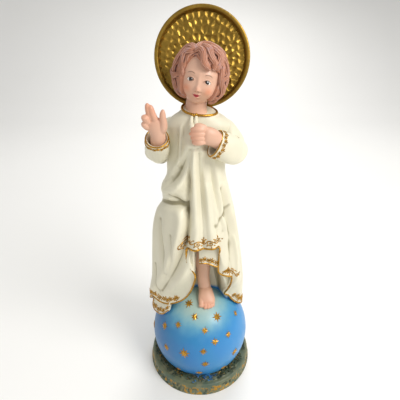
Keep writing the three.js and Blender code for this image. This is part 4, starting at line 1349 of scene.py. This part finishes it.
def build_moss(curls):
    """A ring of small curls between the globe and the shoulder of the base."""
    shape = Shape()
    random = np.random.default_rng(11)
    for _ in range(curls):
        turn = random.uniform(0, 2 * np.pi)
        radius = random.uniform(48.5, 57.5)
        lift = random.uniform(0, 1) * bell(radius - 52.5, 4)
        centre = np.array([radius * np.sin(turn), -radius * np.cos(turn), 14.2 + 1.4 * lift])
        size_, spin = random.uniform(0.9, 2.0), random.uniform(0, 2 * np.pi)
        bend = random.uniform(1.6, 3.4)
        u = np.linspace(0, 1, 5)
        angle = spin + bend * u
        reach = size_ * (1.15 - 0.55 * u)
        points = centre + xyz(reach * np.cos(angle), reach * np.sin(angle), 0.9 * np.sin(np.pi * u))
        thick = 0.42 + 0.3 * np.sin(np.pi * np.clip(u + 0.1, 0, 1))
        shape.tube(np.column_stack([points, thick]), 5, 5, toward=(0, 0, 1), ends=0.3)
    return shape.built("moss")


# The halo

HALO_CENTRE = np.array([2.0, 24.5, 354.0])
HALO_LEAN = math.radians(9)
HALO_FLOOR = 1.2
halo_profile = curve_through([
    [0.0, 0, 2], [0.12, 39, 2], [0.16, 41.6, 0.6], [0.20, 43.9, -1.8], [0.22, 44.3, -2.4],
    [0.25, 44.25, -3.2], [0.28, 43.7, -3.8], [0.31, 42.6, -4.0], [0.34, 41.5, -3.85], [0.365, 40.7, -3.2],
    [0.39, 40.0, -1.8], [0.42, 39.6, -0.3], [1.0, 0, 0],
])


def hammer_seeds():
    random = np.random.default_rng(5)
    seeds = []
    for radius, count in ((37.0, 42), (31.2, 34), (25.2, 27), (19.2, 20), (13.0, 13), (6.6, 6)):
        shift = random.uniform(0, 1)
        for k in range(count):
            angle = 2 * np.pi * (k + shift + random.uniform(-0.22, 0.22)) / count
            seeds.append([radius + random.uniform(-1.7, 1.7), angle, *random.uniform(-0.13, 0.13, 2)])
    seeds.append([0, 0, 0, 0])
    return np.array(seeds)


def hammered(x, z):
    """The height of the dented floor, from 0 at the bottom of a dent to 1 on the ridges."""
    seeds = hammer_seeds()
    radial = np.stack([np.sin(seeds[:, 1]), np.cos(seeds[:, 1])], -1)
    tangent = np.stack([np.cos(seeds[:, 1]), -np.sin(seeds[:, 1])], -1)
    apart = np.stack([x, z], -1)[:, None, :] - (radial * seeds[:, :1])[None]
    along = np.sum(apart * radial, -1)
    across = np.sum(apart * tangent, -1)
    distance = np.hypot(along * 0.8, across)
    order = np.argsort(distance, axis=1)[:, :2]
    rows = np.arange(len(x))
    first, second = distance[rows, order[:, 0]], distance[rows, order[:, 1]]
    ridge = (1 - np.clip((second - first) / 4.6, 0, 1)) ** 1.7
    tilt = along[rows, order[:, 0]] * seeds[order[:, 0], 2] + across[rows, order[:, 0]] * seeds[order[:, 0], 3]
    return np.clip(0.75 * ridge + 0.9 * tilt + 0.12, 0, 1)


def build_halo(halo_radius, hammer_depth):
    shape = Shape()

    def place(around, along):
        share = mix(along, along**1.15, 0.5)
        r, depth = halo_profile(share)
        r = r * halo_radius / 44.3
        turn = 2 * np.pi * around
        x, z = -r * np.sin(turn), r * np.cos(turn)
        floor = (share > 0.405) * ease((39.7 - r) / 1.4)
        depth = depth - hammer_depth * hammered(x, z) * floor
        brushed = 0.05 * np.sin(90 * turn + 2 * np.sin(17 * turn)) * bell(share - 0.3, 0.05)
        y = depth + brushed + HALO_FLOOR
        c, s = math.cos(HALO_LEAN), math.sin(HALO_LEAN)
        return xyz(x, y * c + z * s, z * c - y * s) + HALO_CENTRE

    shape.skin(360, 132, place)
    piece = shape.built("halo_dish")
    mark_hollows(piece, 10, 1)
    return piece


# Operators

class PieceOperator:
    """What the operators of the statue share."""

    bl_options = {"REGISTER", "UNDO"}

    def show(self, context, pieces, paint, node="statue", slot="painted_resin"):
        for piece in pieces:
            if not piece.data.polygons:
                raise RuntimeError(f"{piece.name} has no faces")
            stand_for(piece, node, paint)
        return {"FINISHED"}


class STATUE_OT_robe(PieceOperator, bpy.types.Operator):
    """Builds the robe with its folds, sleeves and the layers under its hem"""

    bl_idname = "statue.robe"
    bl_label = "Robe"

    def execute(self, context):
        pieces = [
            build_robe(), build_sleeves(), panel("under_layer", 72, 56, under_layer, 4.5),
            panel("tail_fold", 120, 56, tail_fold, 5.5),
        ]
        return self.show(context, pieces, cloth_paint(context.scene.statue_colours))


class STATUE_OT_trims(PieceOperator, bpy.types.Operator):
    """Builds the gold edges and the raised scrolls on the robe"""

    bl_idname = "statue.trims"
    bl_label = "Gold trims"

    def execute(self, context):
        pieces = [build_edges(context.scene.statue_sizes.edge_radius * 1000), build_scrolls()]
        return self.show(context, pieces, gold_paint(context.scene.statue_colours))


class STATUE_OT_limbs(PieceOperator, bpy.types.Operator):
    """Builds both hands and the bare leg and foot"""

    bl_idname = "statue.limbs"
    bl_label = "Hands and foot"

    def execute(self, context):
        globe = context.scene.statue_sizes.globe_radius * 1000
        pieces = [build_raised_hand(), build_holding_hand(), build_foot(globe)]
        return self.show(context, pieces, skin_paint(context.scene.statue_colours))


class STATUE_OT_head(PieceOperator, bpy.types.Operator):
    """Builds the head with its plain face, and the neck"""

    bl_idname = "statue.head"
    bl_label = "Head"

    def execute(self, context):
        self.show(context, [build_eyes()], eye_paint())
        return self.show(context, [build_head()], skin_paint(context.scene.statue_colours))


class STATUE_OT_hair(PieceOperator, bpy.types.Operator):
    """Builds the carved curls of the hair"""

    bl_idname = "statue.hair"
    bl_label = "Hair"

    def execute(self, context):
        depth = context.scene.statue_sizes.strand_depth * 1000
        return self.show(context, [build_hair(depth)], hair_paint(context.scene.statue_colours))


class STATUE_OT_globe(PieceOperator, bpy.types.Operator):
    """Builds the globe and its raised gold stars"""

    bl_idname = "statue.globe"
    bl_label = "Globe and stars"

    def execute(self, context):
        sizes, colours = context.scene.statue_sizes, context.scene.statue_colours
        radius = sizes.globe_radius * 1000
        self.show(context, [build_globe(radius)], globe_paint(colours))
        stars = build_stars(radius, sizes.star_radius * 1000, STARS)
        return self.show(context, [stars], gold_paint(colours))


class STATUE_OT_base(PieceOperator, bpy.types.Operator):
    """Builds the round base and the ring of moss on it"""

    bl_idname = "statue.base"
    bl_label = "Base and moss"

    def execute(self, context):
        sizes, colours = context.scene.statue_sizes, context.scene.statue_colours
        self.show(context, [build_base(sizes.base_radius * 1000)], base_paint(colours))
        return self.show(context, [build_moss(sizes.moss_curls)], moss_paint(colours))


class STATUE_OT_halo(PieceOperator, bpy.types.Operator):
    """Builds the hammered brass halo"""

    bl_idname = "statue.halo"
    bl_label = "Halo"

    def execute(self, context):
        sizes = context.scene.statue_sizes
        dish = build_halo(sizes.halo_radius * 1000, sizes.hammer_depth * 1000)
        return self.show(context, [dish], brass_metal(context.scene.statue_colours), "halo", "halo_metal")


def area_light(name, place, target, width, power, tint=(1, 1, 1)):
    lamp = bpy.data.lights.new(name, "AREA")
    lamp.shape = "DISK"
    lamp.size = width
    lamp.energy = power
    lamp.color = tint
    light = bpy.data.objects.new(name, lamp)
    bpy.context.scene.collection.objects.link(light)
    light.location = place
    light.rotation_euler = (Vector(target) - Vector(place)).to_track_quat("-Z", "Y").to_euler()


class STATUE_OT_stage(bpy.types.Operator):
    """Builds the pale floor, the soft studio light and the camera"""

    bl_idname = "statue.stage"
    bl_label = "Stage"
    bl_options = {"REGISTER", "UNDO"}

    def execute(self, context):
        mesh = bmesh.new()
        bmesh.ops.create_grid(mesh, x_segments=24, y_segments=48, size=4)
        for vert in mesh.verts:
            back = max(0.0, vert.co.y - 1.2)
            vert.co.z = 1.1 * back**2 / (1 + 0.3 * back)
        data = bpy.data.meshes.new("studio_floor")
        mesh.to_mesh(data)
        mesh.free()
        data.shade_smooth()
        floor = bpy.data.objects.new("studio_floor", data)
        context.scene.collection.objects.link(floor)
        paint = Paint("Pale floor", rgb(0xF4F3F0))
        paint.layer(paint.grain(3, 2), rgb(0xF1F0EC))
        data.materials.append(paint.done(paint.step(paint.grain(8, 2), 0.3, 0.7, 0.7, 0.8)))

        world = bpy.data.worlds.new("Studio light")
        context.scene.world = world
        world.use_nodes = True
        backdrop = world.node_tree.nodes["Background"]
        backdrop.inputs["Color"].default_value = (1.0, 1.0, 1.0, 1)
        backdrop.inputs["Strength"].default_value = 0.55
        target = (0, 0, 0.2)
        area_light("Key", (0.62, -0.45, 0.85), target, 0.55, 7.5, (1.0, 0.985, 0.96))
        area_light("Fill", (-0.9, -0.7, 0.4), target, 1.0, 0.8, (0.93, 0.96, 1.0))
        area_light("Back", (0.2, 1.2, 1.3), (0, 0.6, 0.1), 1.0, 12)

        camera = bpy.data.cameras.new("Camera")
        camera.sensor_width = 36
        camera.lens = 28.8
        camera.clip_start = 0.01
        camera.clip_end = 50
        eye = bpy.data.objects.new("Camera", camera)
        context.scene.collection.objects.link(eye)
        eye.location = (0, -0.3, 0.363)
        eye.rotation_euler = (math.radians(64.5), 0, 0)
        context.scene.camera = eye
        context.scene.view_settings.view_transform = "Standard"
        return {"FINISHED"}


class STATUE_PT_panel(bpy.types.Panel):
    """Lists what builds the statue, with its sizes and colours"""

    bl_idname = "STATUE_PT_panel"
    bl_label = "Child Statue"
    bl_space_type = "VIEW_3D"
    bl_region_type = "UI"
    bl_category = "Statue"

    def draw(self, context):
        column = self.layout.column(align=True)
        for operator in OPERATORS:
            column.operator(operator.bl_idname)
        for group in (context.scene.statue_sizes, context.scene.statue_colours):
            box = self.layout.box().column()
            for name in group.__annotations__:
                box.prop(group, name)


OPERATORS = (
    STATUE_OT_stage, STATUE_OT_base, STATUE_OT_globe, STATUE_OT_robe, STATUE_OT_trims,
    STATUE_OT_limbs, STATUE_OT_head, STATUE_OT_hair, STATUE_OT_halo,
)
CLASSES = (StatueSizes, StatueColours, *OPERATORS, STATUE_PT_panel)


def register():
    for cls in CLASSES:
        bpy.utils.register_class(cls)
    bpy.types.Scene.statue_sizes = PointerProperty(type=StatueSizes)
    bpy.types.Scene.statue_colours = PointerProperty(type=StatueColours)


def unregister():
    del bpy.types.Scene.statue_colours
    del bpy.types.Scene.statue_sizes
    for cls in reversed(CLASSES):
        bpy.utils.unregister_class(cls)


def main():
    register()
    bpy.ops.statue.stage()
    bpy.ops.statue.base()
    bpy.ops.statue.globe()
    bpy.ops.statue.robe()
    bpy.ops.statue.trims()
    bpy.ops.statue.limbs()
    bpy.ops.statue.head()
    bpy.ops.statue.hair()
    bpy.ops.statue.halo()


if __name__ == "__main__":
    main()
